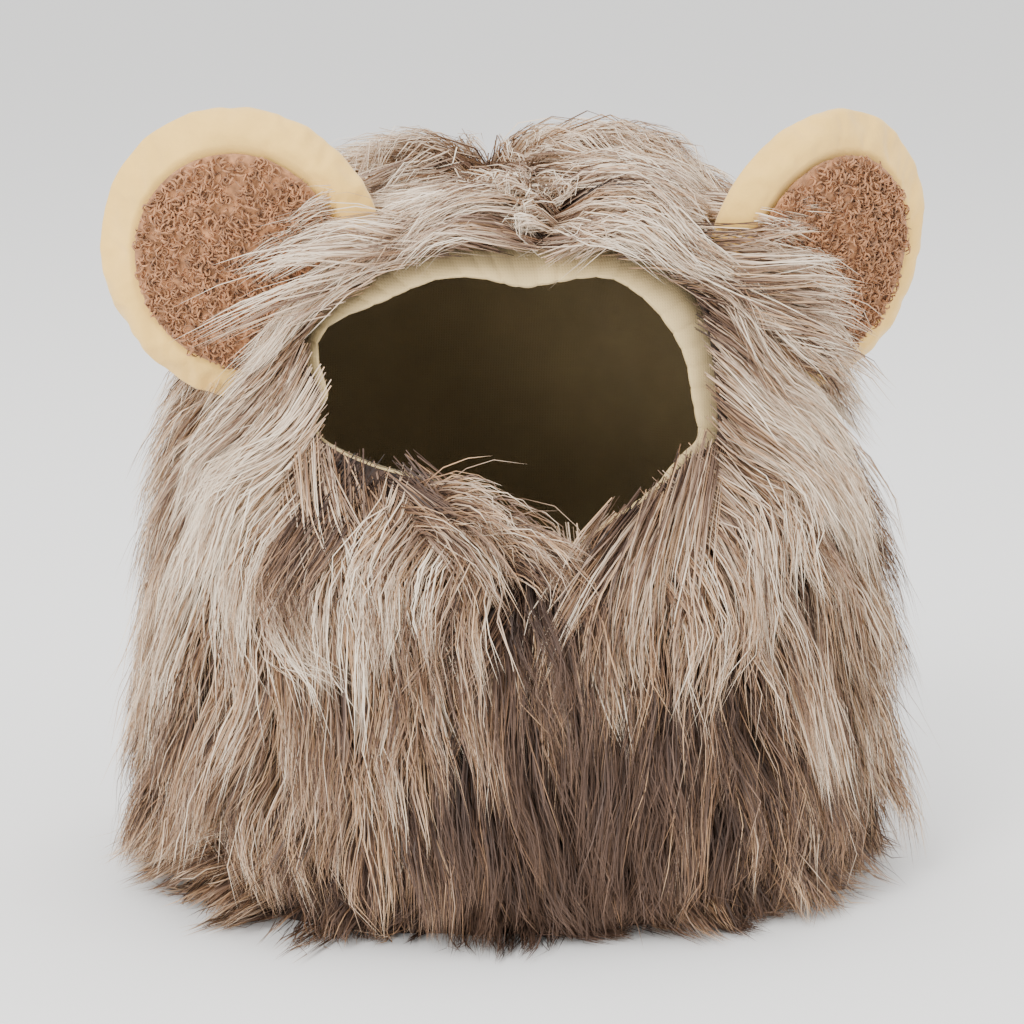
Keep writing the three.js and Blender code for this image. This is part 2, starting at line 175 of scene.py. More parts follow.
def off_map(spot):
    """The angle and down of a place on the fur's map, held at the hem beyond its rim."""
    return np.arctan2(spot[:, 1], spot[:, 0]), np.minimum(np.linalg.norm(spot, axis=-1), 1)


def round_steps(count):
    """Angles once round, evenly spaced."""
    return 2 * math.pi * np.arange(count) / count


def hood_normal(angle, down):
    """The way straight out from the hood."""
    across = hood_point(angle + NUDGE, down, 0) - hood_point(angle - NUDGE, down, 0)
    along = hood_point(angle, down + NUDGE, 0) - hood_point(angle, down - NUDGE, 0)
    return unit(np.cross(along, across))


def down_at(up, outset):
    """How far down the hood a height is, at an outset."""
    downs = np.linspace(0, 1, 400)
    heights = section_share("height", downs)
    return np.interp(up / (HOOD.height + outset), heights[::-1], downs[::-1])


def inside_hood(points, outset):
    """Whether places lie inside the hood, out to an outset."""
    down = down_at(points[..., 2], outset)
    off = points - np.array([HOOD.x, HOOD.y, 0])
    depth = np.where(off[..., 1] < 0, HOOD.front, HOOD.back) + outset
    wide = (HOOD.half_width + outset) * section_share("width", down)
    ahead, behind = section_share("front", down), section_share("back", down)
    deep = depth * np.where(off[..., 1] < 0, ahead, behind)
    across = np.abs(off[..., 0]) / np.maximum(wide, 1e-6)
    along = np.abs(off[..., 1]) / np.maximum(deep, 1e-6)
    within = across**HOOD_SQUARENESS + along**HOOD_SQUARENESS < 1
    return within & (points[..., 2] < HOOD.height + outset)


def closed_curve(corners, steps):
    """A smooth closed curve through the corners, as a three.js centripetal one runs."""
    corners = np.asarray(corners, float)
    p = [np.roll(corners, shift, 0)[:, None] for shift in (1, 0, -1, -2)]
    gap = [np.linalg.norm(p[i + 1] - p[i], axis=-1, keepdims=True) ** 0.5 for i in range(3)]
    t0, t1 = 0.0, gap[0]
    t2 = t1 + gap[1]
    t3 = t2 + gap[2]
    t = t1 + (t2 - t1) * (np.arange(steps) / steps)[None, :, None]
    a1 = (t1 - t) / (t1 - t0) * p[0] + (t - t0) / (t1 - t0) * p[1]
    a2 = (t2 - t) / (t2 - t1) * p[1] + (t - t1) / (t2 - t1) * p[2]
    a3 = (t3 - t) / (t3 - t2) * p[2] + (t - t2) / (t3 - t2) * p[3]
    b1 = (t2 - t) / (t2 - t0) * a1 + (t - t0) / (t2 - t0) * a2
    b2 = (t3 - t) / (t3 - t1) * a2 + (t - t1) / (t3 - t1) * a3
    return ((t2 - t) / (t2 - t1) * b1 + (t - t1) / (t2 - t1) * b2).reshape(-1, corners.shape[1])


def opening_corners():
    """The face opening's corners across and up, and how much of the band shows at each."""
    across = [HOOD.x + row[0] * HOOD.half_width for row in OPENING]
    up = [row[1] * HOOD.height for row in OPENING]
    return np.stack([across, up, [row[2] for row in OPENING]], -1)


OPENING_STEPS = 12
EDGE = closed_curve(opening_corners(), OPENING_STEPS)


def distance_from_opening(points):
    """How far places lie outside the face opening, seen from the front, negative inside it."""
    spot = points[..., [0, 2]].reshape(-1, 1, 2)
    start = EDGE[None, :, :2]
    run = np.roll(EDGE, -1, 0)[None, :, :2] - start
    along = np.clip(((spot - start) * run).sum(-1) / (run**2).sum(-1), 0, 1)
    nearest = np.linalg.norm(start + along[..., None] * run - spot, axis=-1).min(1)
    end = start + run
    crosses = (start[..., 1] > spot[..., 1]) != (end[..., 1] > spot[..., 1])
    reach = start[..., 0] + (spot[..., 1] - start[..., 1]) * run[..., 0] / np.where(
        run[..., 1] == 0, 1e-12, run[..., 1]
    )
    inside = (crosses & (spot[..., 0] < reach)).sum(1) % 2 == 1
    away = np.where(inside, -nearest, nearest).reshape(points.shape[:-1])
    return np.where(points[..., 1] > HOOD.y, 1.0, away)


def pile_outset(angle, down):
    """The pile's outer face, as the frame's fur has it."""
    away = distance_from_opening(hood_point(angle, down, 0))
    share = EDGE_PILE + (1 - EDGE_PILE) * smoothstep(away, 0, PILE_FADE)
    return BACKING_WALL + PILE_DEPTH * section_share("pile", down) * share


def cloudy(points, size, seed):
    """Smooth noise from -1 to 1 with lumps of a given size."""
    scaled = np.asarray(points, float) / size + seed * 17.31
    cell = np.floor(scaled).astype(np.int64)
    f = scaled - cell
    f = f * f * (3 - 2 * f)
    total = np.zeros(scaled.shape[:-1])
    for corner in np.ndindex(*(2,) * scaled.shape[-1]):
        at = cell + np.array(corner)
        mixed = np.zeros(at.shape[:-1], np.int64) + seed * 7919
        for axis, prime in zip(range(at.shape[-1]), (73856093, 19349663, 83492791)):
            mixed = mixed ^ (at[..., axis] * prime)
        mixed = (mixed * 2654435761) & 0xFFFFFFFF
        mixed = (mixed ^ (mixed >> 15)) * 2246822519 & 0xFFFFFFFF
        value = (mixed >> 8 & 0xFFFF) / 32767.5 - 1
        weight = np.prod(np.where(np.array(corner) == 1, f, 1 - f), -1)
        total += weight * value
    return total


EAR_THICKNESS = 18 * MM
EAR_RIM = 8.8 * MM
PATCH_BULGE = 1 * MM
PATCH_THICKNESS = 3 * MM


def ear_place(side):
    """An ear's middle, own axes and half sizes of patch and rim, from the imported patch."""
    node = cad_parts[f"ear_patch_{side}"]
    points = np.array([v.co for v in node.data.vertices])
    axes = np.linalg.svd(points - points.mean(0), full_matrices=False)[2]
    out = axes[2] if axes[2][1] < 0 else -axes[2]
    up = unit(np.array([0.0, 0, 1]) - out[2] * out)
    right = np.cross(up, out)
    spans = [(points @ axis).min() + 1j * (points @ axis).max() for axis in (right, up, out)]
    middle = [(span.real + span.imag) / 2 for span in spans]
    middle[2] = spans[2].imag - EAR_THICKNESS / 2 - PATCH_BULGE
    patch = [(span.imag - span.real) / 2 for span in spans[:2]]
    return SimpleNamespace(
        side=side,
        centre=middle[0] * right + middle[1] * up + middle[2] * out,
        right=right,
        up=up,
        out=out,
        patch=patch,
        rim=[half + EAR_RIM for half in patch],
    )


EARS = {side: ear_place(side) for side in ("left", "right")}


class ManeSizes(bpy.types.PropertyGroup):
    """Sizes of the fur and the cloth."""

    fur_length: bpy.props.FloatProperty(
        name="Fur length", description="Length of the longest strands", default=56 * MM,
        unit="LENGTH",
    )
    strand_width: bpy.props.FloatProperty(
        name="Strand width", description="Width of a bunch of fibres drawn as one strand",
        default=0.34 * MM, unit="LENGTH",
    )
    clump_radius: bpy.props.FloatProperty(
        name="Clump radius", description="How far round its middle a clump gathers its strands",
        default=5.5 * MM, unit="LENGTH",
    )
    strands: bpy.props.IntProperty(
        name="Strands", description="Strands on each of the four fur panels", default=25500,
    )
    seed: bpy.props.IntProperty(
        name="Seed", description="Where the repeatable chances start", default=11,
    )
    gathers: bpy.props.IntProperty(
        name="Gathers", description="Small folds round the face band", default=46,
    )


class ManeColours(bpy.types.PropertyGroup):
    """Colours of the materials, as they look under plain light, but for the lining's, which is
    darker than its cloth as painted shade.
    """

    fur_root: bpy.props.StringProperty(
        name="Fur root", description="Colour deep in the pile", default="#231A15",
    )
    fur_dark: bpy.props.StringProperty(
        name="Fur dark", description="Colour of the darker strands", default="#503C31",
    )
    fur_middle: bpy.props.StringProperty(
        name="Fur middle", description="Colour halfway up the strands", default="#866A57",
    )
    fur_light: bpy.props.StringProperty(
        name="Fur light", description="Colour of the outer pile", default="#C9AF95",
    )
    fur_warm: bpy.props.StringProperty(
        name="Fur warm", description="Colour halfway up the warm strands", default="#8C6A4E",
    )
    fur_warm_light: bpy.props.StringProperty(
        name="Fur warm light", description="Outer colour of the warm strands", default="#CAA57F",
    )
    fur_tip: bpy.props.StringProperty(
        name="Fur tip", description="Colour of the palest tips", default="#F0DFC8",
    )
    ear: bpy.props.StringProperty(
        name="Ear cloth", description="Colour of the ears' velour", default="#FACB6C",
    )
    patch: bpy.props.StringProperty(
        name="Ear patch", description="Colour of the boucle patches", default="#B88258",
    )
    band: bpy.props.StringProperty(
        name="Band", description="Colour of the gathered band", default="#D8BC84",
    )
    # Painted shade: the lining is coloured darker than its own beige cloth, for the shade inside
    # the hood.
    lining: bpy.props.StringProperty(
        name="Lining", description="Colour of the lining deep inside", default="#7C6A45",
    )
    tape: bpy.props.StringProperty(
        name="Tape", description="Colour of the throat tab", default="#CDBB94",
    )
    floor: bpy.props.StringProperty(
        name="Floor", description="Colour of the studio floor", default="#F4F3F1",
    )


def linear(colour):
    """An sRGB hex colour as Blender's linear RGBA."""
    parts = [int(colour[i : i + 2], 16) / 255 for i in (1, 3, 5)]
    return (*[c / 12.92 if c <= 0.04045 else ((c + 0.055) / 1.055) ** 2.4 for c in parts], 1.0)


def darker(colour, share):
    return (*[c * share for c in colour[:3]], 1.0)


def add_node(tree, kind, settings=None, values=None, links=None):
    """Adds a node, sets its properties and sockets, and links its inputs to other outputs."""
    node = tree.nodes.new(kind)
    for name, value in (settings or {}).items():
        setattr(node, name, value)
    for name, value in (values or {}).items():
        node.inputs[name].default_value = value
    for name, (source, output) in (links or {}).items():
        tree.links.new(source.outputs[output], node.inputs[name])
    return node


def new_material(name):
    material = bpy.data.materials.new(name)
    material.use_nodes = True
    material.node_tree.nodes.clear()
    return material, material.node_tree


def set_stops(ramp, stops):
    elements = ramp.color_ramp.elements
    while len(elements) < len(stops):
        elements.new(0.5)
    for element, (place, colour) in zip(elements, stops):
        element.position = place
        element.color = colour


def acrylic_fur():
    """Acrylic long pile, drawn as strands: dark at the root and pale towards the tip, each fibre
    with its own tone. Cool and warm fibres are blended, as they are in the spun pile, and a
    strand's map holds its tone and warmth across and its length from root to tip up."""
    c = bpy.context.scene.mane_colours
    material, tree = new_material("acrylic_long_pile")
    place = add_node(tree, "ShaderNodeUVMap", {"uv_map": "strand"})
    parts = add_node(tree, "ShaderNodeSeparateXYZ", links={"Vector": (place, 0)})
    # Streaks along the fibres, so that neighbours differ as dyed fibres do.
    stretch = add_node(
        tree, "ShaderNodeMapping", values={"Scale": (230, 4, 1)}, links={"Vector": (place, 0)}
    )
    streaks = add_node(
        tree, "ShaderNodeTexNoise", values={"Scale": 1.0, "Detail": 2},
        links={"Vector": (stretch, 0)},
    )
    tone = add_node(
        tree, "ShaderNodeMath", {"operation": "MULTIPLY_ADD"}, {1: 0.78, 2: -0.12},
        {0: (parts, "X")},
    )
    length = add_node(
        tree, "ShaderNodeMath", {"operation": "MULTIPLY_ADD"}, {1: 0.4},
        {0: (parts, "Y"), 2: (tone, 0)},
    )
    shade = add_node(
        tree, "ShaderNodeMath", {"operation": "MULTIPLY_ADD"}, {1: 0.26},
        {0: (streaks, "Fac"), 2: (length, 0)},
    )
    stops = (0.1, 0.32, 0.54, 0.76, 1.0)
    cool = add_node(tree, "ShaderNodeValToRGB", links={"Fac": (shade, 0)})
    colours = (c.fur_root, c.fur_dark, c.fur_middle, c.fur_light, c.fur_tip)
    set_stops(cool, [(p, linear(h)) for p, h in zip(stops, colours)])
    warm = add_node(tree, "ShaderNodeValToRGB", links={"Fac": (shade, 0)})
    colours = (c.fur_root, c.fur_dark, c.fur_warm, c.fur_warm_light, c.fur_tip)
    set_stops(warm, [(p, linear(h)) for p, h in zip(stops, colours)])
    column = add_node(
        tree, "ShaderNodeMath", {"operation": "MULTIPLY"}, {1: float(TONES)}, {0: (parts, "X")}
    )
    half = add_node(tree, "ShaderNodeMath", {"operation": "FRACT"}, None, {0: (column, 0)})
    is_warm = add_node(
        tree, "ShaderNodeMath", {"operation": "GREATER_THAN"}, {1: 0.5}, {0: (half, 0)}
    )
    blend = add_node(
        tree, "ShaderNodeMixRGB", None, None,
        {"Fac": (is_warm, 0), "Color1": (cool, 0), "Color2": (warm, 0)},
    )
    shader = add_node(
        tree, "ShaderNodeBsdfPrincipled",
        values={"Roughness": 0.55, "IOR": 1.5, "Specular IOR Level": 0.3},
        links={"Base Color": (blend, 0)},
    )
    add_node(tree, "ShaderNodeOutputMaterial", links={"Surface": (shader, 0)})
    return material


def underfur_painted_shade():
    """The short dense underfur on the knitted backing, coloured darker than the strands' roots as
    painted shade for the depth between the strands.
    """
    c = bpy.context.scene.mane_colours
    material, tree = new_material("acrylic_underfur_painted_shade")
    place = add_node(tree, "ShaderNodeTexCoord")
    tufts = add_node(
        tree, "ShaderNodeTexNoise", values={"Scale": 1 / (3 * MM), "Detail": 4},
        links={"Vector": (place, "Object")},
    )
    ramp = add_node(tree, "ShaderNodeValToRGB", links={"Fac": (tufts, "Fac")})
    # Painted shade: the underfur runs from below the darkest root colour up to the dark strands'
    # colour.
    set_stops(ramp, [(0.3, darker(linear(c.fur_root), 0.8)), (0.75, linear(c.fur_dark))])
    bump = add_node(
        tree, "ShaderNodeBump", values={"Strength": 0.8, "Distance": 1 * MM},
        links={"Height": (tufts, "Fac")},
    )
    shader = add_node(
        tree, "ShaderNodeBsdfPrincipled", values={"Roughness": 0.95, "IOR": 1.5},
        links={"Base Color": (ramp, 0), "Normal": (bump, 0)},
    )
    add_node(tree, "ShaderNodeOutputMaterial", links={"Surface": (shader, 0)})
    return material


def linked(name, data):
    """A new object in the scene with that data."""
    thing = bpy.data.objects.new(name, data)
    bpy.context.scene.collection.objects.link(thing)
    return thing


def new_piece(name, points, faces, material, smooth=True):
    """A mesh object in the scene from points and faces."""
    mesh = bpy.data.meshes.new(name)
    mesh.from_pydata([tuple(p) for p in points], [], [tuple(f) for f in faces])
    mesh.validate()
    if material:
        mesh.materials.append(material)
    mesh.polygons.foreach_set("use_smooth", [smooth] * len(mesh.polygons))
    return linked(name, mesh)


def dress(thing, slot, *nodes):
    """The piece stands for those nodes of the frame, which it hides, and hangs from the root body.
    The slot is not used.
    """
    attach(thing, "root")
    if nodes:
        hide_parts(*nodes)


def face_outward(thing):
    """Turns a closed piece's faces outward."""
    shape = bmesh.new()
    shape.from_mesh(thing.data)
    bmesh.ops.recalc_face_normals(shape, faces=shape.faces)
    shape.to_mesh(thing.data)
    shape.free()


def settle(thing):
    """Takes a piece's modifiers into its mesh."""
    graph = bpy.context.evaluated_depsgraph_get()
    mesh = bpy.data.meshes.new_from_object(thing.evaluated_get(graph))
    thing.modifiers.clear()
    old, thing.data = thing.data, mesh
    bpy.data.meshes.remove(old)


def cut(thing, cutter, operation):
    """Cuts a closed piece with another, which is then removed."""
    face_outward(thing)
    face_outward(cutter)
    change = thing.modifiers.new("cut", "BOOLEAN")
    change.operation = operation
    change.solver = "MANIFOLD"
    change.object = cutter
    bpy.context.view_layer.update()
    settle(thing)
    bpy.data.objects.remove(cutter)


FAR = 0.4  # well beyond the wig on every side, for the pieces that cut others


def box_piece(low, high):
    """A box to cut with, between two corners."""
    corners = np.stack(np.meshgrid(*zip(low, high), indexing="ij"), -1).reshape(-1, 3)
    faces = [(0, 1, 3, 2), (4, 6, 7, 5), (0, 4, 5, 1), (2, 3, 7, 6), (0, 2, 6, 4), (1, 5, 7, 3)]
    return new_piece("cutter", corners, faces, None, False)


def opening_piece():
    """A straight prism with the opening's outline, from in front of the wig to its middle."""
    n = len(EDGE)
    points = [(x, y, z) for y in (HOOD.y - FAR, HOOD.y) for x, z in EDGE[:, :2]]
    faces = [tuple(range(n)), tuple(range(2 * n - 1, n - 1, -1))]
    faces += [(i, n + i, n + (i + 1) % n, (i + 1) % n) for i in range(n)]
    return new_piece("cutter", points, faces, None, False)


def slit_piece():
    """The slit under the throat, as a box to cut with."""
    return box_piece(
        (SLIT_X - SLIT_WIDTH / 2, HOOD.y - FAR, -FAR),
        (SLIT_X + SLIT_WIDTH / 2, HOOD.y, THROAT_Z + 6 * MM),
    )


def hood_wall(name, columns, rows, inner, outer, material):
    """A closed wall between two outsets of the hood. Each is a function of angle and down."""
    angles = round_steps(columns)
    downs = np.linspace(0, 1, rows + 1)[1:]
    grid = np.meshgrid(angles, downs)
    points, starts = [], []
    for outset in (outer, inner):
        starts.append(sum(len(skin) for skin in points))
        points.append(hood_point(0, 0, outset(np.zeros(1), np.zeros(1))))
        points.append(hood_point(*grid, outset(*grid)).reshape(-1, 3))
    faces = []

    def at(skin, row, column):
        return starts[skin] + (1 + (row - 1) * columns + column % columns if row else 0)

    for i in range(columns):
        faces.append((at(0, 0, 0), at(0, 1, i), at(0, 1, i + 1)))
        faces.append((at(1, 0, 0), at(1, 1, i + 1), at(1, 1, i)))
        for r in range(1, rows):
            faces.append((at(0, r, i), at(0, r + 1, i), at(0, r + 1, i + 1), at(0, r, i + 1)))
            faces.append((at(1, r, i), at(1, r, i + 1), at(1, r + 1, i + 1), at(1, r + 1, i)))
        faces.append((at(0, rows, i), at(1, rows, i), at(1, rows, i + 1), at(0, rows, i + 1)))
    return new_piece(name, np.concatenate(points), faces, material)


# The fur is laid out on a map whose middle is the crown and whose rim, at 1, is the hem. The
# whorl's place and size are on that map, and its spiral is in radians. The turns say how strongly
# the fur lies aside from its partings at the brow, the cheeks and the back.
WHORL, WHORL_SIZE, WHORL_SPIRAL = np.array([0.0, 0.31]), 0.12, 0.9
SPLIT_WIDTH = 12 * MM
BROW_TURN, BROW_WIDTH = 2.6, 15 * MM
CHEEK_TURN, CHEEK_WIDTH = 0.62, 9 * MM
BACK_TURN, BACK_WIDTH = 0.75, 7 * MM
# Lumps in the way that the pile lies: their size and how much they turn it.
BROAD_STIR, FINE_STIR, WHORL_STIR = (24 * MM, 0.38), (9 * MM, 0.26), 5 * MM


def parted(spot, points):
    """How near places are to where the fur parts: round the whorl, and along the split that runs
    from it over the brow."""
    whorl = np.exp(-((np.linalg.norm(spot - WHORL, axis=-1) / WHORL_SIZE) ** 2))
    across = np.exp(-(((points[..., 0] - SLIT_X) / SPLIT_WIDTH) ** 2))
    top = 1 - smoothstep(np.linalg.norm(spot, axis=-1), 0.4, 0.5)
    return np.maximum(whorl, across * top * (1 - smoothstep(spot[..., 1], 0.05, 0.3)))


def stirred(points, size, seed):
    """A smooth random direction on the map for each place."""
    return np.stack([cloudy(points, size, seed), cloudy(points, size, seed + 1)], -1)


def turned(flow, angle):
    """Directions on the map turned by an angle each."""
    (x, y), cosine, sine = flow.T, np.cos(angle), np.sin(angle)
    return np.stack([x * cosine - y * sine, x * sine + y * cosine], -1)


def fur_flow(spot, points, split, seed):
    """Which way the fur lies on that map: away from the whorl and parted down the back, sideways
    from a split over the brow, in towards the throat on the cheeks, and straight down lower."""
    reach = np.linalg.norm(spot, axis=-1)
    low = smoothstep(reach, 0.38, 0.75)[:, None]
    off = spot - WHORL
    far = np.linalg.norm(off, axis=-1)
    away = turned(unit(off), WHORL_SPIRAL * np.exp(-((far / 0.09) ** 2)))
    away += np.exp(-((far / 0.06) ** 2))[:, None] * stirred(points, WHORL_STIR, seed + 7)
    flow = away * (1 - low) + unit(spot) * low
    aside = points[:, 0] - SLIT_X
    behind = smoothstep(spot[:, 1], 0.0, 0.15)
    parting = np.tanh((points[:, 0] - HOOD.x) / BACK_WIDTH) * (1 - smoothstep(reach, 0.45, 1.0))
    flow[:, 0] += BACK_TURN * behind * parting * smoothstep(far, 0.06, 0.2)
    ahead = smoothstep(-spot[:, 1], -0.26, 0.08)
    brow = 1 - smoothstep(reach, 0.46, 0.7)
    cheek = smoothstep(reach, 0.42, 0.55) - smoothstep(reach, 0.66, 0.86)
    beside = smoothstep(-spot[:, 1], 0.22, 0.42)
    flow[:, 0] += ahead * brow * BROW_TURN * np.tanh((aside + split) / BROW_WIDTH)
    flow[:, 0] -= ahead * cheek * beside * CHEEK_TURN * np.tanh(aside / CHEEK_WIDTH)
    (broad, more), (fine, less) = BROAD_STIR, FINE_STIR
    return unit(
        unit(flow) + more * stirred(points, broad, seed) + less * stirred(points, fine, seed + 2)
    )


def along_edge(spot, flow, points):
    """Turns fur that heads into the face opening to run along its edge instead."""

    def away(place):
        return distance_from_opening(hood_point(*off_map(place), 0))

    here = away(spot)
    slope = np.stack([away(spot + (NUDGE, 0)) - here, away(spot + (0, NUDGE)) - here], -1)
    outward = unit(slope)
    inward = np.maximum(-(flow * outward).sum(-1), 0)
    near = 1 - smoothstep(distance_from_opening(points), 2 * MM, 16 * MM)
    return unit(flow + (0.86 * near * inward)[:, None] * outward)


HEM_REACH = 113 * MM  # a whole step of the map at the hem, as a length
LEAST_PACE = 25 * MM
GUIDE_STEPS = 8
FLOOR_GAP = 0.5 * MM
EAR_GAP = 1.5 * MM
# How far the fur stands out at the hem, and how much further at its left and right sides. The
# whole left side stands out more than the right, as it hangs in the photograph.
HEM_FLARE, LEFT_FLARE, RIGHT_FLARE = 7 * MM, 9 * MM, 4 * MM
LEFT_STAND, RIGHT_STAND = 6 * MM, 3 * MM
# A hump of fur over the crown, a little to the right of the split.
HUMP_RISE, HUMP_X, HUMP_WIDTH = 6 * MM, 7 * MM, 15 * MM


def clear_of_ears(points, roots):
    """Moves strands that would run through an ear in front of it or behind it."""
    for ear in EARS.values():
        off = points - ear.centre
        wide = off @ ear.right / (ear.rim[0] + 1 * MM)
        tall = off @ ear.up / (ear.rim[1] + 1 * MM)
        deep = off @ ear.out
        round_ = np.sqrt(np.clip(1 - (wide**2 + tall**2) ** 2, 0, 1))
        need = (EAR_THICKNESS / 2 + EAR_GAP) * round_
        way = np.where((roots - ear.centre) @ ear.out > 0, 1.0, -1.0)
        while way.ndim < deep.ndim:
            way = way[..., None]
        push = np.clip(need - way * deep, 0, None) * (need > 0) * (way * deep > -need * 1.3)
        points = points + (push * way)[..., None] * ear.out
    return points


def guide_lines(angle, down, length, depth, lift, sway, seed):
    """The middle lines of clumps, from root to tip along the flow, and the hood's normals there."""
    spot = on_map(angle, down)
    root = hood_point(angle, down, 0)
    split = 9 * MM * cloudy(root, 7 * MM, seed + 5)
    lines = np.empty((len(angle), GUIDE_STEPS + 1, 3))
    normals = np.empty_like(lines)
    for step in range(GUIDE_STEPS + 1):
        share = step / GUIDE_STEPS
        reach = np.linalg.norm(spot, axis=-1)
        place = off_map(spot)
        top = pile_outset(*place) * depth
        rise = BACKING_WALL + (top - BACKING_WALL) * (1 - (1 - share) ** 2.2)
        loose = 0.1 + 0.9 * smoothstep(reach, 0.35, 0.65) + 0.8 * smoothstep(reach, 0.75, 1)
        rise = rise + lift * share**1.5 * loose
        hump = np.exp(-(((root[:, 0] - SLIT_X - HUMP_X) / HUMP_WIDTH) ** 2))
        hump = hump * (1 - smoothstep(reach, 0.12, 0.36))
        rise = rise + HUMP_RISE * hump * math.sin(math.pi * share**0.7)
        point = hood_point(*place, rise)
        leftward = -np.cos(place[0]) * smoothstep(reach, 0.45, 0.6)
        flare = HEM_FLARE + np.where(leftward > 0, LEFT_FLARE, -RIGHT_FLARE) * leftward
        rise = rise + flare * share * smoothstep(reach, 0.72, 1.0)
        stand = np.where(leftward > 0, LEFT_STAND, RIGHT_STAND) * leftward
        rise = rise + stand * (0.4 + 0.6 * share)
        over = np.maximum(reach - 1, 0) * HEM_REACH
        point[:, :2] += (0.25 * over)[:, None] * unit(spot)
        lines[:, step] = point
        normals[:, step] = hood_normal(*place)
        flow = turned(fur_flow(spot, point, split, seed), sway * share)
        flow = along_edge(spot, flow, point)
        ahead = hood_point(*off_map(spot + NUDGE * flow), rise)
        pace = np.linalg.norm(ahead - hood_point(*place, rise), axis=-1) / NUDGE
        pace = np.where(reach > 0.985, HEM_REACH, np.maximum(pace, LEAST_PACE))
        spot = spot + flow * (length / GUIDE_STEPS / pace)[:, None]
    return lines, normals


def scatter(count, chance):
    """Root places over the hood, closer beside the opening and where the fur parts, and clear of
    the ears."""
    angles, downs = [], []
    found = 0
    while found < count:
        angle = chance.uniform(-math.pi, math.pi, count)
        down = chance.uniform(0.01, 0.995, count)
        nudge = 0.004
        here = hood_point(angle, down, 0)
        across = hood_point(angle + nudge, down, 0) - here
        along = hood_point(angle, down + nudge, 0) - here
        area = np.linalg.norm(np.cross(across, along), axis=-1)
        root = hood_point(angle, down, BACKING_WALL)
        crowd = 1 - 0.5 * smoothstep(np.abs(distance_from_opening(root)), 5 * MM, 12 * MM)
        crowd = np.where(root[:, 1] > HOOD.y, 0.5, crowd)
        crowd += 0.7 * parted(on_map(angle, down), root)
        keep = chance.uniform(0, 1, count) < crowd * area / (np.quantile(area, 0.995))
        keep &= distance_from_opening(root) > 0.3 * MM
        for ear in EARS.values():
            off = root - ear.centre
            wide, tall = off @ ear.right / ear.rim[0], off @ ear.up / ear.rim[1]
            keep &= ~((wide**2 + tall**2 < 1) & (np.abs(off @ ear.out) < 0.4 * EAR_THICKNESS))
        angles.append(angle[keep])
        downs.append(down[keep])
        found += keep.sum()
    return np.concatenate(angles)[:count], np.concatenate(downs)[:count]


def fur_length(points, down):
    """How long the fur is at a place, as a share of its longest: shorter over the brow and
    beside the opening."""
    away = distance_from_opening(points)
    share = 0.74 + 0.26 * smoothstep(down, 0.25, 0.6)
    by_ears = smoothstep(np.abs(points[:, 0]), 18 * MM, 36 * MM) * (1 - smoothstep(down, 0.45, 0.6))
    share += 0.22 * (points[:, 1] < HOOD.y - 15 * MM) * by_ears
    beside = np.where(points[:, 2] > 0.8 * HOOD.height, 0.76, 0.8)
    return share * (beside + (1 - beside) * smoothstep(away, 2 * MM, 22 * MM))


def hem_raise(points):
    """How far above the floor the fur ends: it is shorter at the front of the left flap."""
    leftward = -points[:, 0]
    left = smoothstep(leftward, 38 * MM, 50 * MM) - 0.6 * smoothstep(leftward, 84 * MM, 96 * MM)
    front = smoothstep(HOOD.y - points[:, 1], 5 * MM, 25 * MM)
    return 11 * MM * left * front


# Locks that curl round the throat: their roots from the throat's point across and up, which way
# they set off and how far they turn on the way, in degrees, their length and how pale they are.
TUFTS = (
    (-30 * MM, 9 * MM, 48, -115, 19 * MM, -0.04),
    (-23 * MM, 5 * MM, 42, -120, 20 * MM, 0.04),
    (-16 * MM, 1 * MM, 10, -95, 22 * MM, -0.05),
    (-40 * MM, 10 * MM, -95, 10, 34 * MM, -0.1),
    (-38 * MM, 14 * MM, -25, -60, 36 * MM, -0.14),
    (-62 * MM, 22 * MM, -98, 22, 46 * MM, 0.02),
    (-55 * MM, 17 * MM, -90, 18, 48 * MM, -0.1),
    (-47 * MM, 13 * MM, -78, -6, 46 * MM, -0.04),
    (-9 * MM, -5 * MM, -125, 15, 46 * MM, -0.06),
    (-4 * MM, -4 * MM, -102, 20, 48 * MM, 0.3),
    (3 * MM, -4 * MM, -86, 10, 46 * MM, 0.75),
    (9 * MM, -3 * MM, -95, 20, 44 * MM, 0.35),
    (19 * MM, 6 * MM, -135, 55, 50 * MM, -0.06),
    (28 * MM, 12 * MM, -135, 55, 52 * MM, 0.06),
    (37 * MM, 19 * MM, -122, 40, 50 * MM, 0.08),
)
TUFT_CLUMPS = 16


def throat_tufts(chance):
    """The middle lines of the clumps in those locks, their normals and their tones."""
    row = np.repeat(np.array(TUFTS), TUFT_CLUMPS, 0)
    across, up, heading, turn, length, tone = row.T
    count = len(row)
    x = SLIT_X + across + chance.normal(0, 3, count) * MM
    z = THROAT_Z + up + chance.normal(0, 2.5, count) * MM
    heading = np.radians(heading + chance.normal(0, 9, count))
    turn = np.radians(turn * chance.uniform(0.75, 1.15, count))
    pace = length * chance.uniform(0.75, 1.1, count) / GUIDE_STEPS
    top = chance.uniform(6, 15, count) * MM
    lines = []
    for step in range(GUIDE_STEPS + 1):
        share = step / GUIDE_STEPS
        rise = BACKING_WALL + top * (1 - (1 - share) ** 2.5)
        lines.append(seen_from_front(x, z, rise))
        x = x + pace * np.cos(heading + turn * share)
        z = z + pace * np.sin(heading + turn * share)
    lines = np.stack(lines, 1)
    normals = unit(lines - np.array([HOOD.x, HOOD.y + 20 * MM, 0]) * (1, 1, 0) - lines * (0, 0, 1))
    return lines, normals, tone + chance.normal(0, 0.08, count)


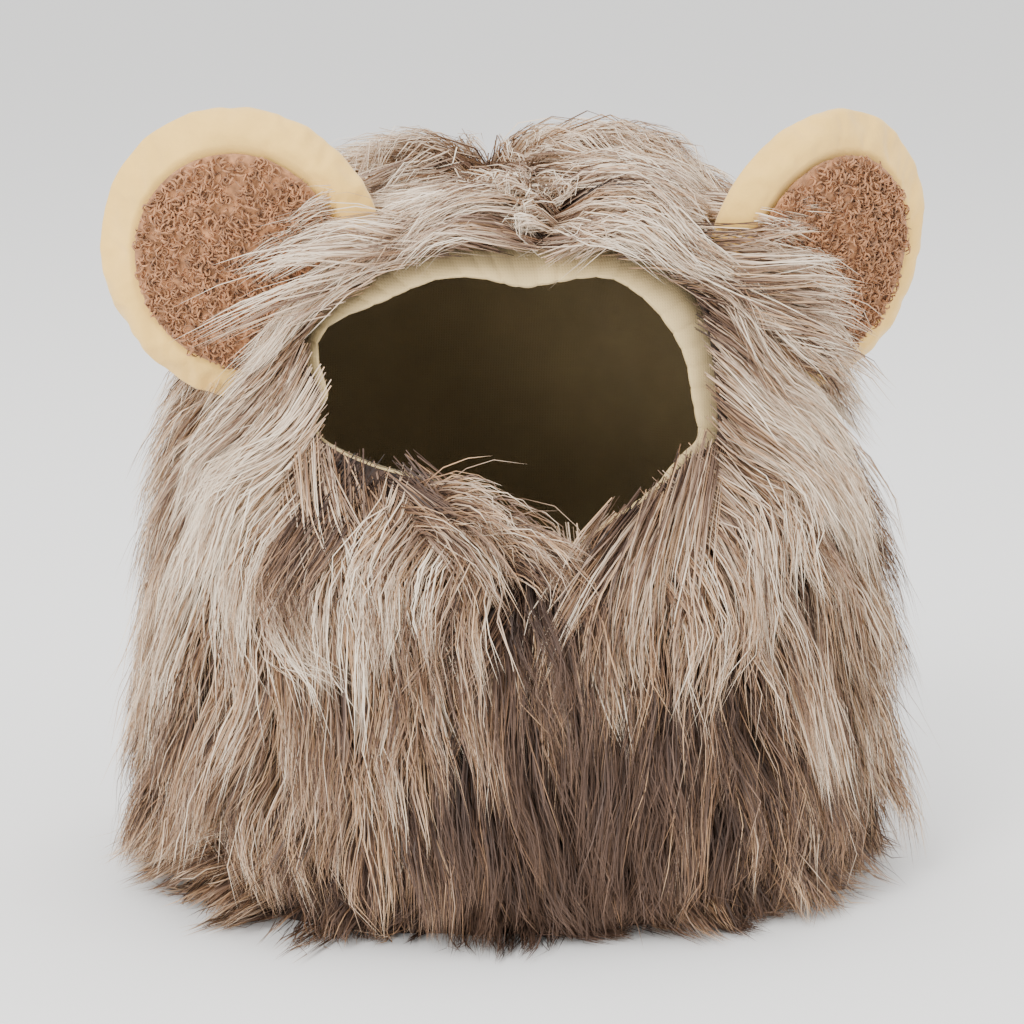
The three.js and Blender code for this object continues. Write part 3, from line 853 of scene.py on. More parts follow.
# Locks that sweep off the brow across the lower inner part of each ear: their roots and tips,
# across away from the wig's middle and up from the ear's own middle, as shares of its rim.
SWEEPS = (
    (-1.2, 0.32, -0.42, 0.28),
    (-1.1, 0.14, -0.16, 0.02),
    (-0.98, -0.02, 0.08, -0.2),
    (-0.84, -0.16, 0.24, -0.48),
    (-0.72, -0.3, 0.34, -0.78),
    (-0.6, -0.44, 0.38, -1.05),
)
SWEEP_CLUMPS = 11


def ear_sweeps(chance):
    """The middle lines of the clumps in those locks, their normals and their tones."""
    row = np.repeat(np.array(SWEEPS), SWEEP_CLUMPS, 0)
    count = len(row)
    share = np.linspace(0, 1, GUIDE_STEPS + 1)[None, :, None]
    lines, normals, tones = [], [], []
    for side, ear in EARS.items():
        outward = -1 if side == "left" else 1
        wide, tall = ear.rim

        def on_ear(across, up, height):
            across, up = (place + chance.normal(0, 0.09, count) for place in (across, up))
            plane = (outward * across * wide)[:, None] * ear.right + (up * tall)[:, None] * ear.up
            return ear.centre + plane + height[:, None] * ear.out

        start = on_ear(row[:, 0], row[:, 1], np.zeros(count))
        start = seen_from_front(start[:, 0], start[:, 2], BACKING_WALL)
        end = on_ear(row[:, 2], row[:, 3], EAR_THICKNESS / 2 + chance.uniform(1, 5, count) * MM)
        bow = chance.uniform(4, 10, count)[:, None, None] * MM * np.sin(math.pi * share**0.7)
        arch = chance.uniform(1, 7, count)[:, None, None] * MM * np.sin(math.pi * share)
        line = start[:, None] + (end - start)[:, None] * share + bow * ear.out + arch * ear.up
        line = line[distance_from_opening(start) > 2 * MM]
        lines.append(line)
        normals.append(np.broadcast_to(ear.out, line.shape))
        tones.append(chance.normal(0, 0.13, len(line)))
    return np.concatenate(lines), np.concatenate(normals), np.concatenate(tones)


LOCKS, CLUMPS = 380, 5600
# How locks differ in tone, in how far they stand up (middle and spread), in the way they head,
# in how high over the floor they end and in how far they wave (least and most).
LOCK_TONE, LOCK_LIFT, LOCK_SWAY = 0.17, (1.5, 2.8), 0.3
LOCK_RAISE, LOCK_WAVE = (-6, 12), (1.0, 4.0)
WAVE = 34 * MM  # length of the wave that a lock keeps from its packing
# How a lock's clumps differ from it, and how strongly they are drawn to its middle line.
CLUMP_LENGTH, CLUMP_LIFT, CLUMP_SWAY, CLUMP_TONE = (0.8, 1.1), (0.5, 1.5), 0.18, 0.12
LOCK_PULL, PULL_WIDTH = 0.55, 14 * MM
# How far strands may reach over the opening near their roots and further on.
ROOT_OVERHANG, TIP_OVERHANG = 2.5 * MM, 8 * MM
# How a clump's strands differ: the share of strays, their length and how far they are drawn in
# to its tip, their own wave and its beats, and their width.
STRAYS, STRAND_LENGTH, DRAW_IN = 0.16, (0.7, 1.08), (0.6, 0.95)
STRAND_WAVE, STRAND_BEAT, STRAND_WIDTHS = (0.3, 1.3), (0.5, 1.4), (0.6, 1.3)
STRAND_STEPS = 4
STRAND_TAPER = np.array([0.8, 1.0, 0.9, 0.6, 0.0])
# Tone runs from 0 for the darkest strand to 1 for the palest. The pile is painted paler at the
# crown and on the left, as painted light from above on the left. It is painted darker low down, on
# the right and most in the middle of the beard, as painted shade.
TONES = 32
CROWN_PAINTED_LIGHT, LOW_PAINTED_SHADE, BEARD_PAINTED_SHADE, BEARD_WIDTH = 0.3, 0.14, 0.78, 38 * MM
LEFT_PAINTED_LIGHT, RIGHT_PAINTED_SHADE = 0.08, 0.12
# Strands that are dark or pale all over: their share, and how much their tone changes.
DARK_STRANDS, PALE_STRANDS = (0.3, 0.28), (0.2, 0.16)
WARM_LOW, WARM_LOSS = 0.62, 0.35  # share of warm strands, and how much less at the crown


def grow_fur(sizes):
    """Every strand of the mane: its centre line, its side-to-side direction and its tone."""
    chance = np.random.default_rng(sizes.seed)
    lock_angle, lock_down = scatter(LOCKS, chance)
    lock_tone = chance.normal(0, LOCK_TONE, LOCKS)
    lock_lift = chance.normal(*LOCK_LIFT, LOCKS) * MM
    lock_sway = chance.normal(0, LOCK_SWAY, LOCKS)
    lock_raise = chance.uniform(*LOCK_RAISE, LOCKS) * MM
    lock_beat = chance.uniform(0, 2 * math.pi, LOCKS)
    lock_wave = chance.uniform(*LOCK_WAVE, LOCKS) * MM
    lock_root = hood_point(lock_angle, lock_down, BACKING_WALL)
    lock_length = sizes.fur_length * fur_length(lock_root, lock_down)
    lock_line, _ = guide_lines(
        lock_angle, lock_down, lock_length, np.full(LOCKS, 1.05), lock_lift, lock_sway, sizes.seed
    )
    angle, down = scatter(CLUMPS, chance)
    root = hood_point(angle, down, BACKING_WALL)
    apart = np.linalg.norm(root[:, None] - lock_root[None], axis=-1)
    across_slit = (root[:, None, 0] > SLIT_X) != (lock_root[None, :, 0] > SLIT_X)
    apart += 0.1 * (across_slit & (root[:, None, 1] < HOOD.y))
    lock = apart.argmin(1)
    length = sizes.fur_length * fur_length(root, down) * chance.uniform(*CLUMP_LENGTH, CLUMPS)
    length *= 1.04 - 0.26 * smoothstep(apart.min(1), 3 * MM, 13 * MM)
    to_hem = root[:, 2] + 1 * MM - lock_raise[lock] - hem_raise(root)
    length = np.minimum(length, np.maximum(to_hem, 6 * MM))
    depth = 0.6 + 0.5 * chance.uniform(0, 1, CLUMPS) ** 0.7
    lift = lock_lift[lock] + chance.normal(*CLUMP_LIFT, CLUMPS) * MM
    sway = lock_sway[lock] + chance.normal(0, CLUMP_SWAY, CLUMPS)
    line, normal = guide_lines(angle, down, length, depth, lift, sway, sizes.seed)
    share = np.linspace(0, 1, GUIDE_STEPS + 1)
    near = np.exp(-((apart.min(1) / PULL_WIDTH) ** 2))
    pull = (LOCK_PULL * near)[:, None, None] * (share**1.5)[None, :, None]
    bend = (lock_line[lock] - lock_line[lock][:, :1]) - (line - line[:, :1])
    line = line + pull * bend + LOCK_PULL * pull * (lock_root[lock] - root)[:, None]
    side = unit(np.cross(normal, np.gradient(line, axis=1)))
    beat = 2 * math.pi * share[None] * length[:, None] / WAVE + lock_beat[lock][:, None]
    line += side * (lock_wave[lock][:, None] * share[None] * np.sin(beat))[..., None]
    line = clear_of_ears(line, root)
    clump_tone = lock_tone[lock] + chance.normal(0, CLUMP_TONE, CLUMPS)
    overhang = distance_from_opening(line)[:, 1:]
    kept = (overhang[:, :4].min(1) > -ROOT_OVERHANG) & (overhang.min(1) > -TIP_OVERHANG)
    tuft_line, tuft_normal, tuft_tone = throat_tufts(chance)
    sweep_line, sweep_normal, sweep_tone = ear_sweeps(chance)
    line = np.concatenate([line, tuft_line, sweep_line])
    normal = np.concatenate([normal, tuft_normal, sweep_normal])
    root = np.concatenate([root, tuft_line[:, 0], sweep_line[:, -1]])
    clump_tone = np.concatenate([clump_tone, tuft_tone, sweep_tone])
    kept = np.concatenate([kept, np.ones(len(tuft_tone) + len(sweep_tone), bool)])
    strands = []
    behind = root[:, 1] > HOOD.seam
    panel = behind * 2 + (root[:, 0] > np.where(behind, HOOD.x, SLIT_X))
    for index in range(4):
        clumps = np.flatnonzero(kept & (panel == index))
        strands.append(fill_clumps(clumps, line, normal, root, clump_tone, sizes, chance))
    return strands


def fill_clumps(clumps, line, normal, root, clump_tone, sizes, chance):
    """Strands round each clump's middle line, drawn in to its tip, with some strays."""
    count = sizes.strands
    of = clumps[np.sort(chance.integers(0, len(clumps), count))]
    stray = chance.uniform(0, 1, count) < STRAYS
    reach = np.sqrt(chance.uniform(0, 1, count)) * sizes.clump_radius
    turn = chance.uniform(0, 2 * math.pi, count)
    aside, along = reach * np.cos(turn), reach * np.sin(turn)
    scale = chance.uniform(*STRAND_LENGTH, count)
    share = np.linspace(0, 1, STRAND_STEPS + 1)
    place = np.clip(share[None] * scale[:, None] * GUIDE_STEPS, 0, GUIDE_STEPS + 0.7)
    low = np.minimum(place.astype(int), GUIDE_STEPS - 1)
    part = (place - low)[..., None]
    rows = of[:, None]
    centre = line[rows, low] * (1 - part) + line[rows, low + 1] * part
    out = unit(normal[rows, low])
    forward = unit(line[rows, low + 1] - line[rows, low])
    side = unit(np.cross(out, forward))
    draw_in = np.where(stray, 0.1, chance.uniform(*DRAW_IN, count))[:, None]
    spread = 1 - draw_in * share[None] ** 0.8
    wave = chance.uniform(*STRAND_WAVE, count)[:, None] * MM * share[None]
    phase = chance.uniform(0, 2 * math.pi, (2, count, 1))
    beat = chance.uniform(*STRAND_BEAT, count)[:, None] * 2 * math.pi
    sideways = aside[:, None] * spread + wave * np.sin(beat * share[None] + phase[0])
    sideways += np.where(stray, chance.normal(0, 3.5, count), 0)[:, None] * MM * share[None] ** 1.5
    height = wave * np.sin(beat * share[None] + phase[1])
    free = smoothstep(1 - root[of][:, 2] / HOOD.height, 0.1, 0.4)
    height += (chance.normal(0, 1.0, count) * (0.4 + 0.6 * free))[:, None] * MM * share[None]
    loft = np.where(stray, chance.normal(1.2, 1.8, count), 0) * (0.3 + 0.7 * free)
    height += loft[:, None] * MM * share[None] ** 1.5
    points = centre + side * sideways[..., None] + out * height[..., None]
    points += forward[:, :1] * (along[:, None] * (1 - 0.5 * share[None]))[..., None]
    moved = clear_of_ears(points, root[of])
    bent = np.linalg.norm(moved - points, axis=-1).max(1) > 0.5 * MM
    points = moved
    # Strands that an ear pushes aside bend softly.
    for _ in range(2):
        eased = 0.5 * points[bent, 1:-1] + 0.25 * (points[bent, :-2] + points[bent, 2:])
        points[bent, 1:-1] = eased
    floor = FLOOR_GAP + chance.uniform(0, 1.5, count)[:, None] * MM
    points[..., 2] = np.maximum(points[..., 2], floor)
    tilt = chance.normal(0, 0.7, count)[:, None, None]
    facing = unit(out * np.cos(tilt) + side * np.sin(tilt))
    heading = unit(np.gradient(points, axis=1))
    width = unit(np.cross(facing, heading)) * STRAND_TAPER[None, :, None]
    width *= (sizes.strand_width * chance.uniform(*STRAND_WIDTHS, count))[:, None, None] / 2
    x, y, up = root[of].T
    up = up / HOOD.height
    kind = chance.uniform(0, 1, count)
    tone = 0.5 + clump_tone[of] + chance.normal(0, 0.1, count)
    # Painted light and shade by place: paler at the crown and on the left, darker low down, in the
    # middle of the beard and on the right.
    tone += CROWN_PAINTED_LIGHT * smoothstep(up, 0.35, 0.95) - 0.04
    beard = np.exp(-(((x - SLIT_X) / BEARD_WIDTH) ** 2)) * (y < HOOD.y)
    tone -= BEARD_PAINTED_SHADE * beard * (1 - smoothstep(up, 0.4, 0.62))
    tone -= LOW_PAINTED_SHADE * (1 - smoothstep(up, 0.1, 0.35))
    tone += LEFT_PAINTED_LIGHT * smoothstep(HOOD.x - x, 30 * MM, 70 * MM)
    tone -= RIGHT_PAINTED_SHADE * smoothstep(x - HOOD.x, 15 * MM, 60 * MM) * (1 - smoothstep(up, 0.6, 0.8))
    tone -= np.where(kind < DARK_STRANDS[0], DARK_STRANDS[1], 0)
    tone += np.where(kind > 1 - PALE_STRANDS[0], PALE_STRANDS[1], 0)
    warm = chance.uniform(0, 1, count) < WARM_LOW - WARM_LOSS * smoothstep(up, 0.4, 0.9)
    return SimpleNamespace(points=points, width=width, tone=np.clip(tone, 0, 0.999), warm=warm)


def strand_piece(name, strands, material):
    """One mesh of flat tapered strands, three quads and a tip each, mapped by tone and length."""
    count = len(strands.points)
    left = strands.points - strands.width
    right = strands.points + strands.width
    rows = np.stack([left, right], 2)[:, :STRAND_STEPS].reshape(count, -1, 3)
    points = np.concatenate([rows, strands.points[:, -1:]], 1)
    each = points.shape[1]
    quads = [(2 * i, 2 * i + 1, 2 * i + 3, 2 * i + 2) for i in range(STRAND_STEPS - 1)]
    corner = [v for quad in quads for v in quad] + [each - 3, each - 2, each - 1]
    sizes = [4] * len(quads) + [3]
    loops = (np.arange(count)[:, None] * each + np.array(corner)[None]).ravel()
    totals = np.tile(sizes, count)
    starts = np.concatenate([[0], np.cumsum(totals)[:-1]])
    mesh = bpy.data.meshes.new(name)
    mesh.vertices.add(count * each)
    mesh.vertices.foreach_set("co", points.astype(np.float32).ravel())
    mesh.loops.add(len(loops))
    mesh.loops.foreach_set("vertex_index", loops.astype(np.int32))
    mesh.polygons.add(len(totals))
    mesh.polygons.foreach_set("loop_start", starts.astype(np.int32))
    mesh.polygons.foreach_set("use_smooth", np.ones(len(totals), bool))
    mesh.update(calc_edges=True)
    cell = (2 * np.floor(strands.tone * TONES) + strands.warm)[:, None]
    across = (cell + np.where(np.array(corner)[None] % 2 == 1, 0.85, 0.15)) / (2 * TONES)
    across[:, -1] = (cell[:, 0] + 0.5) / (2 * TONES)
    up = np.array([v // 2 / STRAND_STEPS for v in corner[:-1]] + [1.0])
    places = np.stack([across, np.tile(up * 0.98 + 0.01, (count, 1))], -1)
    for layer in ("strand", "OFBake"):
        uv = mesh.uv_layers.new(name=layer)
        uv.data.foreach_set("uv", places.astype(np.float32).ravel())
    mesh.materials.append(material)
    return linked(name, mesh)


PANELS = ("front_left", "front_right", "back_left", "back_right")


def panel_box(panel):
    """The quarter of space that a fur panel keeps to."""
    front, left = "front" in panel, "left" in panel
    middle = SLIT_X if front else HOOD.x
    gap = CLEARANCE / 2
    return box_piece(
        (-FAR if left else middle + gap, -FAR if front else HOOD.seam + gap, -FAR),
        (middle - gap if left else FAR, HOOD.seam - gap if front else FAR, FAR),
    )


def hood_core(outset):
    """The hood filled up to an outset, for cutting away what would reach inside it."""
    columns, rows = 96, 48
    angles = round_steps(columns)
    downs = np.linspace(0, 1, rows + 1)[1:]
    grid = hood_point(*np.meshgrid(angles, downs), outset).reshape(-1, 3)
    points = np.concatenate([grid, hood_point([0], [0], outset)])
    faces = [quad[::-1] for quad in grid_faces(rows, columns)]
    faces += [(len(grid), i, (i + 1) % columns) for i in range(columns)]
    faces.append(tuple(range(len(grid) - 1, len(grid) - 1 - columns, -1)))
    return new_piece("cutter", points, faces, None, False)


class MANE_OT_fur(bpy.types.Operator):
    """Grow the long pile on its underfur, panel by panel"""

    bl_idname = "mane.fur"
    bl_label = "Fur"

    def execute(self, context):
        strand_finish, underfur_shade_finish = acrylic_fur(), underfur_painted_shade()

        def ground_top(angle, down):
            top = pile_outset(angle, down)
            lumps = cloudy(hood_point(angle, down, 0), 4 * MM, 3)
            away = distance_from_opening(hood_point(angle, down, 0))
            thick = (0.4 + 0.16 * lumps) * smoothstep(away, 0, 22 * MM)
            thick *= 1 - 0.85 * parted(on_map(angle, down), hood_point(angle, down, 0))
            return BACKING_WALL * 0.7 + (top - BACKING_WALL) * thick

        for panel, strands in zip(PANELS, grow_fur(context.scene.mane_sizes)):
            # Each panel's underfur, a dark layer of painted shade under its strands.
            ground = hood_wall(
                f"underfur_{panel}", 96, 40, lambda a, d: 0 * a, ground_top, underfur_shade_finish
            )
            cut(ground, panel_box(panel), "INTERSECT")
            if "front" in panel:
                cut(ground, opening_piece(), "DIFFERENCE")
                cut(ground, slit_piece(), "DIFFERENCE")
            dress(ground, "faux_fur", f"fur_{panel}")
            pile = strand_piece(f"long_pile_{panel}", strands, strand_finish)
            dress(pile, "faux_fur", f"fur_{panel}")
        return {"FINISHED"}


def seen_from_front(across, up, outset):
    """Points on the front of the hood, at an outset, from where they are seen from in front."""
    down = down_at(up, outset)
    side = (across - HOOD.x) / ((HOOD.half_width + outset) * section_share("width", down))
    room = np.clip(1 - np.abs(side) ** HOOD_SQUARENESS, 0, 1) ** (1 / HOOD_SQUARENESS)
    y = HOOD.y - (HOOD.front + outset) * section_share("front", down) * room
    return np.stack([across, y, up], -1)


def grid_faces(rows, columns, round_rows=False, round_columns=True):
    """Quads of a grid of points kept row by row."""
    r = np.arange(rows if round_rows else rows - 1)[:, None]
    c = np.arange(columns if round_columns else columns - 1)[None]
    after, beside = (r + 1) % rows, (c + 1) % columns
    corners = (r * columns + c, r * columns + beside, after * columns + beside, after * columns + c)
    return np.stack(np.broadcast_arrays(*corners), -1).reshape(-1, 4).tolist()


LINING_OUTER = -0.35 * MM  # outset of the lining's hidden face
LINING_CLOTH = 0.9 * MM
# Slack folds of the lining: their size and depth.
SLACK_FOLDS = ((11 * MM, 1.2 * MM), (34 * MM, 1.9 * MM), (5 * MM, 0.35 * MM))
THREAD, TAPE_THREAD = 0.35 * MM, 0.5 * MM


def cotton_cloth(name, colour, thread):
    """Plain woven cotton: matt, with a fine crossing of threads and a soft, patchy tone."""
    material, tree = new_material(name)
    place = add_node(tree, "ShaderNodeTexCoord")
    # Threads are drawn about three times as coarse as they are, so that they show at all.
    waves = []
    for direction in ("X", "Z"):
        waves.append(
            add_node(
                tree, "ShaderNodeTexWave", {"wave_type": "BANDS", "bands_direction": direction},
                {"Scale": 1 / (thread * 6.3), "Distortion": 0.6, "Detail": 1},
                {"Vector": (place, "Object")},
            )
        )
    weave = add_node(
        tree, "ShaderNodeMath", {"operation": "MAXIMUM"}, None,
        {0: (waves[0], "Fac"), 1: (waves[1], "Fac")},
    )
    patches = add_node(
        tree, "ShaderNodeTexNoise", values={"Scale": 1 / (12 * MM), "Detail": 3},
        links={"Vector": (place, "Object")},
    )
    ramp = add_node(tree, "ShaderNodeValToRGB", links={"Fac": (patches, "Fac")})
    set_stops(ramp, [(0.25, darker(linear(colour), 0.84)), (0.75, linear(colour))])
    bump = add_node(
        tree, "ShaderNodeBump", values={"Strength": 0.35, "Distance": 0.2 * MM},
        links={"Height": (weave, 0)},
    )
    shader = add_node(
        tree, "ShaderNodeBsdfPrincipled",
        values={"Roughness": 0.9, "IOR": 1.5, "Sheen Weight": 0.15, "Sheen Roughness": 0.6},
        links={"Base Color": (ramp, 0), "Normal": (bump, 0)},
    )
    add_node(tree, "ShaderNodeOutputMaterial", links={"Surface": (shader, 0)})
    return material


def velour(colour):
    """Short sheared velour over stuffing: soft and matt, paler and darker in soft patches."""
    material, tree = new_material("sheared_velour")
    place = add_node(tree, "ShaderNodeTexCoord")
    nap = add_node(
        tree, "ShaderNodeTexNoise", values={"Scale": 1 / (9 * MM), "Detail": 5, "Roughness": 0.6},
        links={"Vector": (place, "Object")},
    )
    ramp = add_node(tree, "ShaderNodeValToRGB", links={"Fac": (nap, "Fac")})
    set_stops(ramp, [(0.3, darker(linear(colour), 0.86)), (0.7, linear(colour))])
    fuzz = add_node(
        tree, "ShaderNodeTexNoise", values={"Scale": 1 / (0.7 * MM), "Detail": 2},
        links={"Vector": (place, "Object")},
    )
    bump = add_node(
        tree, "ShaderNodeBump", values={"Strength": 0.3, "Distance": 0.3 * MM},
        links={"Height": (fuzz, "Fac")},
    )
    shader = add_node(
        tree, "ShaderNodeBsdfPrincipled",
        values={"Roughness": 0.88, "IOR": 1.5, "Sheen Weight": 0.3, "Sheen Roughness": 0.5},
        links={"Base Color": (ramp, 0), "Normal": (bump, 0)},
    )
    add_node(tree, "ShaderNodeOutputMaterial", links={"Surface": (shader, 0)})
    return material


def boucle(colour):
    """Looped boucle pile: matt curls, lighter and darker in curl-sized patches, partly the curls'
    own tone and partly painted highlights on crests and painted shade in pits.
    """
    material, tree = new_material("boucle_pile")
    place = add_node(tree, "ShaderNodeTexCoord")
    curls = add_node(
        tree, "ShaderNodeTexNoise", values={"Scale": 1 / (2.2 * MM), "Detail": 3},
        links={"Vector": (place, "Object")},
    )
    ramp = add_node(tree, "ShaderNodeValToRGB", links={"Fac": (curls, "Fac")})
    # Partly painted light: the darkest stop stands for shade in the pits, and the brightest, above
    # the patch colour, for highlights.
    curl_tone_and_painted_light = ((0.3, 0.42), (0.52, 0.85), (0.75, 1.25))
    set_stops(ramp, [(at, darker(linear(colour), share)) for at, share in curl_tone_and_painted_light])
    shader = add_node(
        tree, "ShaderNodeBsdfPrincipled",
        values={"Roughness": 0.92, "IOR": 1.5, "Sheen Weight": 0.1, "Sheen Roughness": 0.6},
        links={"Base Color": (ramp, 0)},
    )
    add_node(tree, "ShaderNodeOutputMaterial", links={"Surface": (shader, 0)})
    return material


class MANE_OT_lining(bpy.types.Operator):
    """Sew in the lining, with its slack folds"""

    bl_idname = "mane.lining"
    bl_label = "Lining"

    def execute(self, context):
        colours = context.scene.mane_colours

        def slack(angle, down):
            spot = hood_point(angle, down, 0)
            depth = 0
            for i, (size, deep) in enumerate(SLACK_FOLDS):
                lumps = cloudy(spot * (1, 1, (0.3, 0.4, 1)[i]), size, 21 + i)
                depth = depth + deep * (1 + lumps)
            return depth * smoothstep(down, 0, 0.2)

        lining = hood_wall(
            "lining_cloth", 150, 70,
            lambda a, d: LINING_OUTER - LINING_CLOTH - slack(a, d),
            lambda a, d: LINING_OUTER - slack(a, d),
            # The lining's darker colour is painted shade for the inside of the hood.
            cotton_cloth("woven_cotton_lining_painted_shade", colours.lining, THREAD),
        )
        cut(lining, opening_piece(), "DIFFERENCE")
        cut(lining, slit_piece(), "DIFFERENCE")
        dress(lining, "lining_cloth", "lining")
        return {"FINISHED"}


BAND_OUTER, BAND_THICKNESS = -1.9 * MM, 2.3 * MM
BAND_TUCK, BAND_SHOW = 5 * MM, 6 * MM
BAND_PUFF, BAND_RIPPLE = 1.3 * MM, 0.4 * MM
SHOULDER_X, SHOULDER_WIDTH = 32 * MM, 18 * MM  # where the band shows most, above the middle
# Once round the folded band's section: how far from its tucked edge to its free one, and which
# of its two faces.
BAND_SECTION = (
    (0.0, 0.5), (0.25, 1), (0.5, 1), (0.75, 1), (0.93, 0.9), (1.0, 0.5),
    (0.93, 0.1), (0.75, 0), (0.5, 0), (0.25, 0),
)
TAB_STEPS = 25
TAB_OUTSET, TAB_CLOTH, TAB_GROOVE = -1.9 * MM, 1.4 * MM, 0.35 * MM


def gathered_band(gathers, finish):
    """The folded band round the face opening, gathered unevenly into small creases."""
    edge = closed_curve(opening_corners(), 48)
    middle = np.array([HOOD.x, OPENING_MIDDLE * HOOD.height])
    outward = unit(edge[:, :2] - middle)
    walk = np.linalg.norm(np.diff(edge[:, :2], axis=0), axis=-1)
    walk = np.concatenate([[0], np.cumsum(walk)])
    turn = 2 * math.pi * walk / (walk[-1] + np.linalg.norm(edge[0, :2] - edge[-1, :2]))
    uneven = np.stack([np.cos(turn), np.sin(turn)], -1)
    beat = gathers * turn + 2.2 * cloudy(uneven, 0.35, 5)
    crease = np.abs(np.sin(beat / 2)) ** 0.5 * (0.7 + 0.3 * cloudy(uneven, 0.2, 6))
    scallop = np.clip(cloudy(uneven, 0.42, 8), -1, 1)
    shoulders = (np.abs(edge[:, 0] - HOOD.x) - SHOULDER_X) / SHOULDER_WIDTH
    above = smoothstep(edge[:, 1] - middle[1], 0, 20 * MM)
    share = 1.3 + 0.2 * scallop + 0.9 * np.exp(-(shoulders**2)) * above
    show = BAND_SHOW * np.maximum(edge[:, 2], 0) * share + BAND_RIPPLE * crease
    ring = []
    for along, face in BAND_SECTION:
        grow = BAND_TUCK - along * (BAND_TUCK + show)
        spot = edge[:, :2] + outward * grow[:, None]
        puff = (0.25 + 0.75 * math.sin(math.pi * min(along, 0.9))) * crease * BAND_PUFF
        thick = BAND_THICKNESS * (0.35 + 0.65 * math.sin(math.pi * min(0.15 + along, 0.85)))
        outset = BAND_OUTER - (1 - face) * thick + (puff - 0.5 * MM) * (face - 0.35) * along
        ring.append(seen_from_front(spot[:, 0], spot[:, 1], outset))
    faces = grid_faces(len(BAND_SECTION), len(edge), True)
    band = new_piece("gathered_band", np.concatenate(ring), faces, finish)
    dress(band, "lining_cloth", "face_band")


def throat_tab(finish):
    """A thin tab behind the slit, curved with the hood, its edge set off by a pressed groove."""
    low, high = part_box("throat_tab")
    n, spans = TAB_STEPS, np.linspace(-1, 1, TAB_STEPS)
    across, up = np.meshgrid(
        (low.x + high.x) / 2 + spans * (high.x - low.x) / 2,
        (low.z + high.z) / 2 + spans * (high.z - low.z) / 2,
    )
    corner = np.maximum(np.abs(spans[:, None]), np.abs(spans[None]))
    thin = TAB_GROOVE * (smoothstep(corner, 0.8, 0.84) - smoothstep(corner, 0.84, 0.88))
    tape = []
    for face, depth in ((thin, 0), (-thin, TAB_CLOTH)):
        points = seen_from_front(across.ravel(), up.ravel(), TAB_OUTSET)
        points[:, 1] += face.ravel() + depth
        tape.append(points)
    front = grid_faces(n, n, False, False)
    back = [tuple(n * n + v for v in quad[::-1]) for quad in front]
    rim = list(range(n)) + [n * r + n - 1 for r in range(1, n)]
    rim += [n * (n - 1) + c for c in range(n - 2, -1, -1)] + [n * r for r in range(n - 2, 0, -1)]
    sides = [(rim[i - 1], n * n + rim[i - 1], n * n + rim[i], rim[i]) for i in range(len(rim))]
    tab = new_piece("hook_and_loop_tab", np.concatenate(tape), front + back + sides, finish)
    dress(tab, "fastening_tape", "throat_tab")


class MANE_OT_band(bpy.types.Operator):
    """Gather the band round the face opening"""

    bl_idname = "mane.band"
    bl_label = "Face band"

    def execute(self, context):
        colour = context.scene.mane_colours.band
        cloth = cotton_cloth("gathered_cotton_band", colour, THREAD)
        gathered_band(context.scene.mane_sizes.gathers, cloth)
        return {"FINISHED"}


class MANE_OT_tab(bpy.types.Operator):
    """Sew in the tab that closes the throat slit"""

    bl_idname = "mane.tab"
    bl_label = "Throat tab"

    def execute(self, context):
        colour = context.scene.mane_colours.tape
        throat_tab(cotton_cloth("woven_fastening_tape", colour, TAPE_THREAD))
        return {"FINISHED"}


# Radius and height of the stuffed ear's section, from the middle of its back to the seam round
# its rim, and over the front's cloth rim into the dish behind the patch. Rows marked 1 are sewn
# down, and the others swell.
EAR_ROWS = (
    (0.0, -0.8, 0), (0.12, -0.8, 0), (0.24, -0.79, 0), (0.36, -0.77, 0), (0.48, -0.74, 0),
    (0.59, -0.7, 0), (0.69, -0.64, 0), (0.78, -0.56, 0), (0.86, -0.45, 0), (0.92, -0.31, 0),
    (0.97, -0.15, 0), (0.985, 0.0, 1), (0.975, 0.12, 0), (0.95, 0.27, 0), (0.92, 0.42, 0),
    (0.88, 0.55, 0), (0.84, 0.63, 0), (0.8, 0.66, 0), (0.765, 0.6, 1), (0.74, 0.46, 1),
    (0.5, 0.46, 1), (0.0, 0.46, 1),
)
EAR_COLUMNS = 144
STUFFING_PRESSURE, SWELL_STEPS, SWELL_CAP = 3.5, 20, 4 * MM


def ear_points(ear, radius, turn, height):
    """Places on an ear: the radius as a share of its rim, and the height off its middle."""
    wide, tall = ear.rim
    return (
        ear.centre
        + (radius * np.cos(turn) * wide)[..., None] * ear.right
        + (radius * np.sin(turn) * tall)[..., None] * ear.up
        + np.broadcast_to(height, np.broadcast(radius, turn).shape)[..., None] * ear.out
    )


def swell(thing, held):
    """Stuffs a closed cloth piece by simulation, keeping its held points where they are."""
    scene = bpy.context.scene
    start = np.array([v.co for v in thing.data.vertices])
    group = thing.vertex_groups.new(name="held")
    group.add([int(i) for i in held], 1.0, "REPLACE")
    cloth = thing.modifiers.new("stuffing", "CLOTH")
    settings = cloth.settings
    settings.quality = 6
    settings.mass = 0.2
    settings.tension_stiffness = settings.compression_stiffness = 12
    settings.shear_stiffness = 6
    settings.bending_stiffness = 0.15
    settings.use_pressure = True
    settings.uniform_pressure_force = STUFFING_PRESSURE
    settings.shrink_min = -0.05
    settings.vertex_group_mass = "held"
    settings.effector_weights.gravity = 0
    cloth.collision_settings.use_collision = False
    for step in range(1, SWELL_STEPS + 1):
        scene.frame_set(step)
    graph = bpy.context.evaluated_depsgraph_get()
    shaped = thing.evaluated_get(graph).to_mesh()
    end = np.array([v.co for v in shaped.vertices])
    thing.evaluated_get(graph).to_mesh_clear()
    thing.modifiers.clear()
    scene.frame_set(1)
    moved = end - start
    length = np.linalg.norm(moved, axis=-1, keepdims=True)
    moved *= np.minimum(1, SWELL_CAP / np.maximum(length, 1e-9))
    thing.data.vertices.foreach_set("co", (start + moved).ravel())
    thing.data.update()


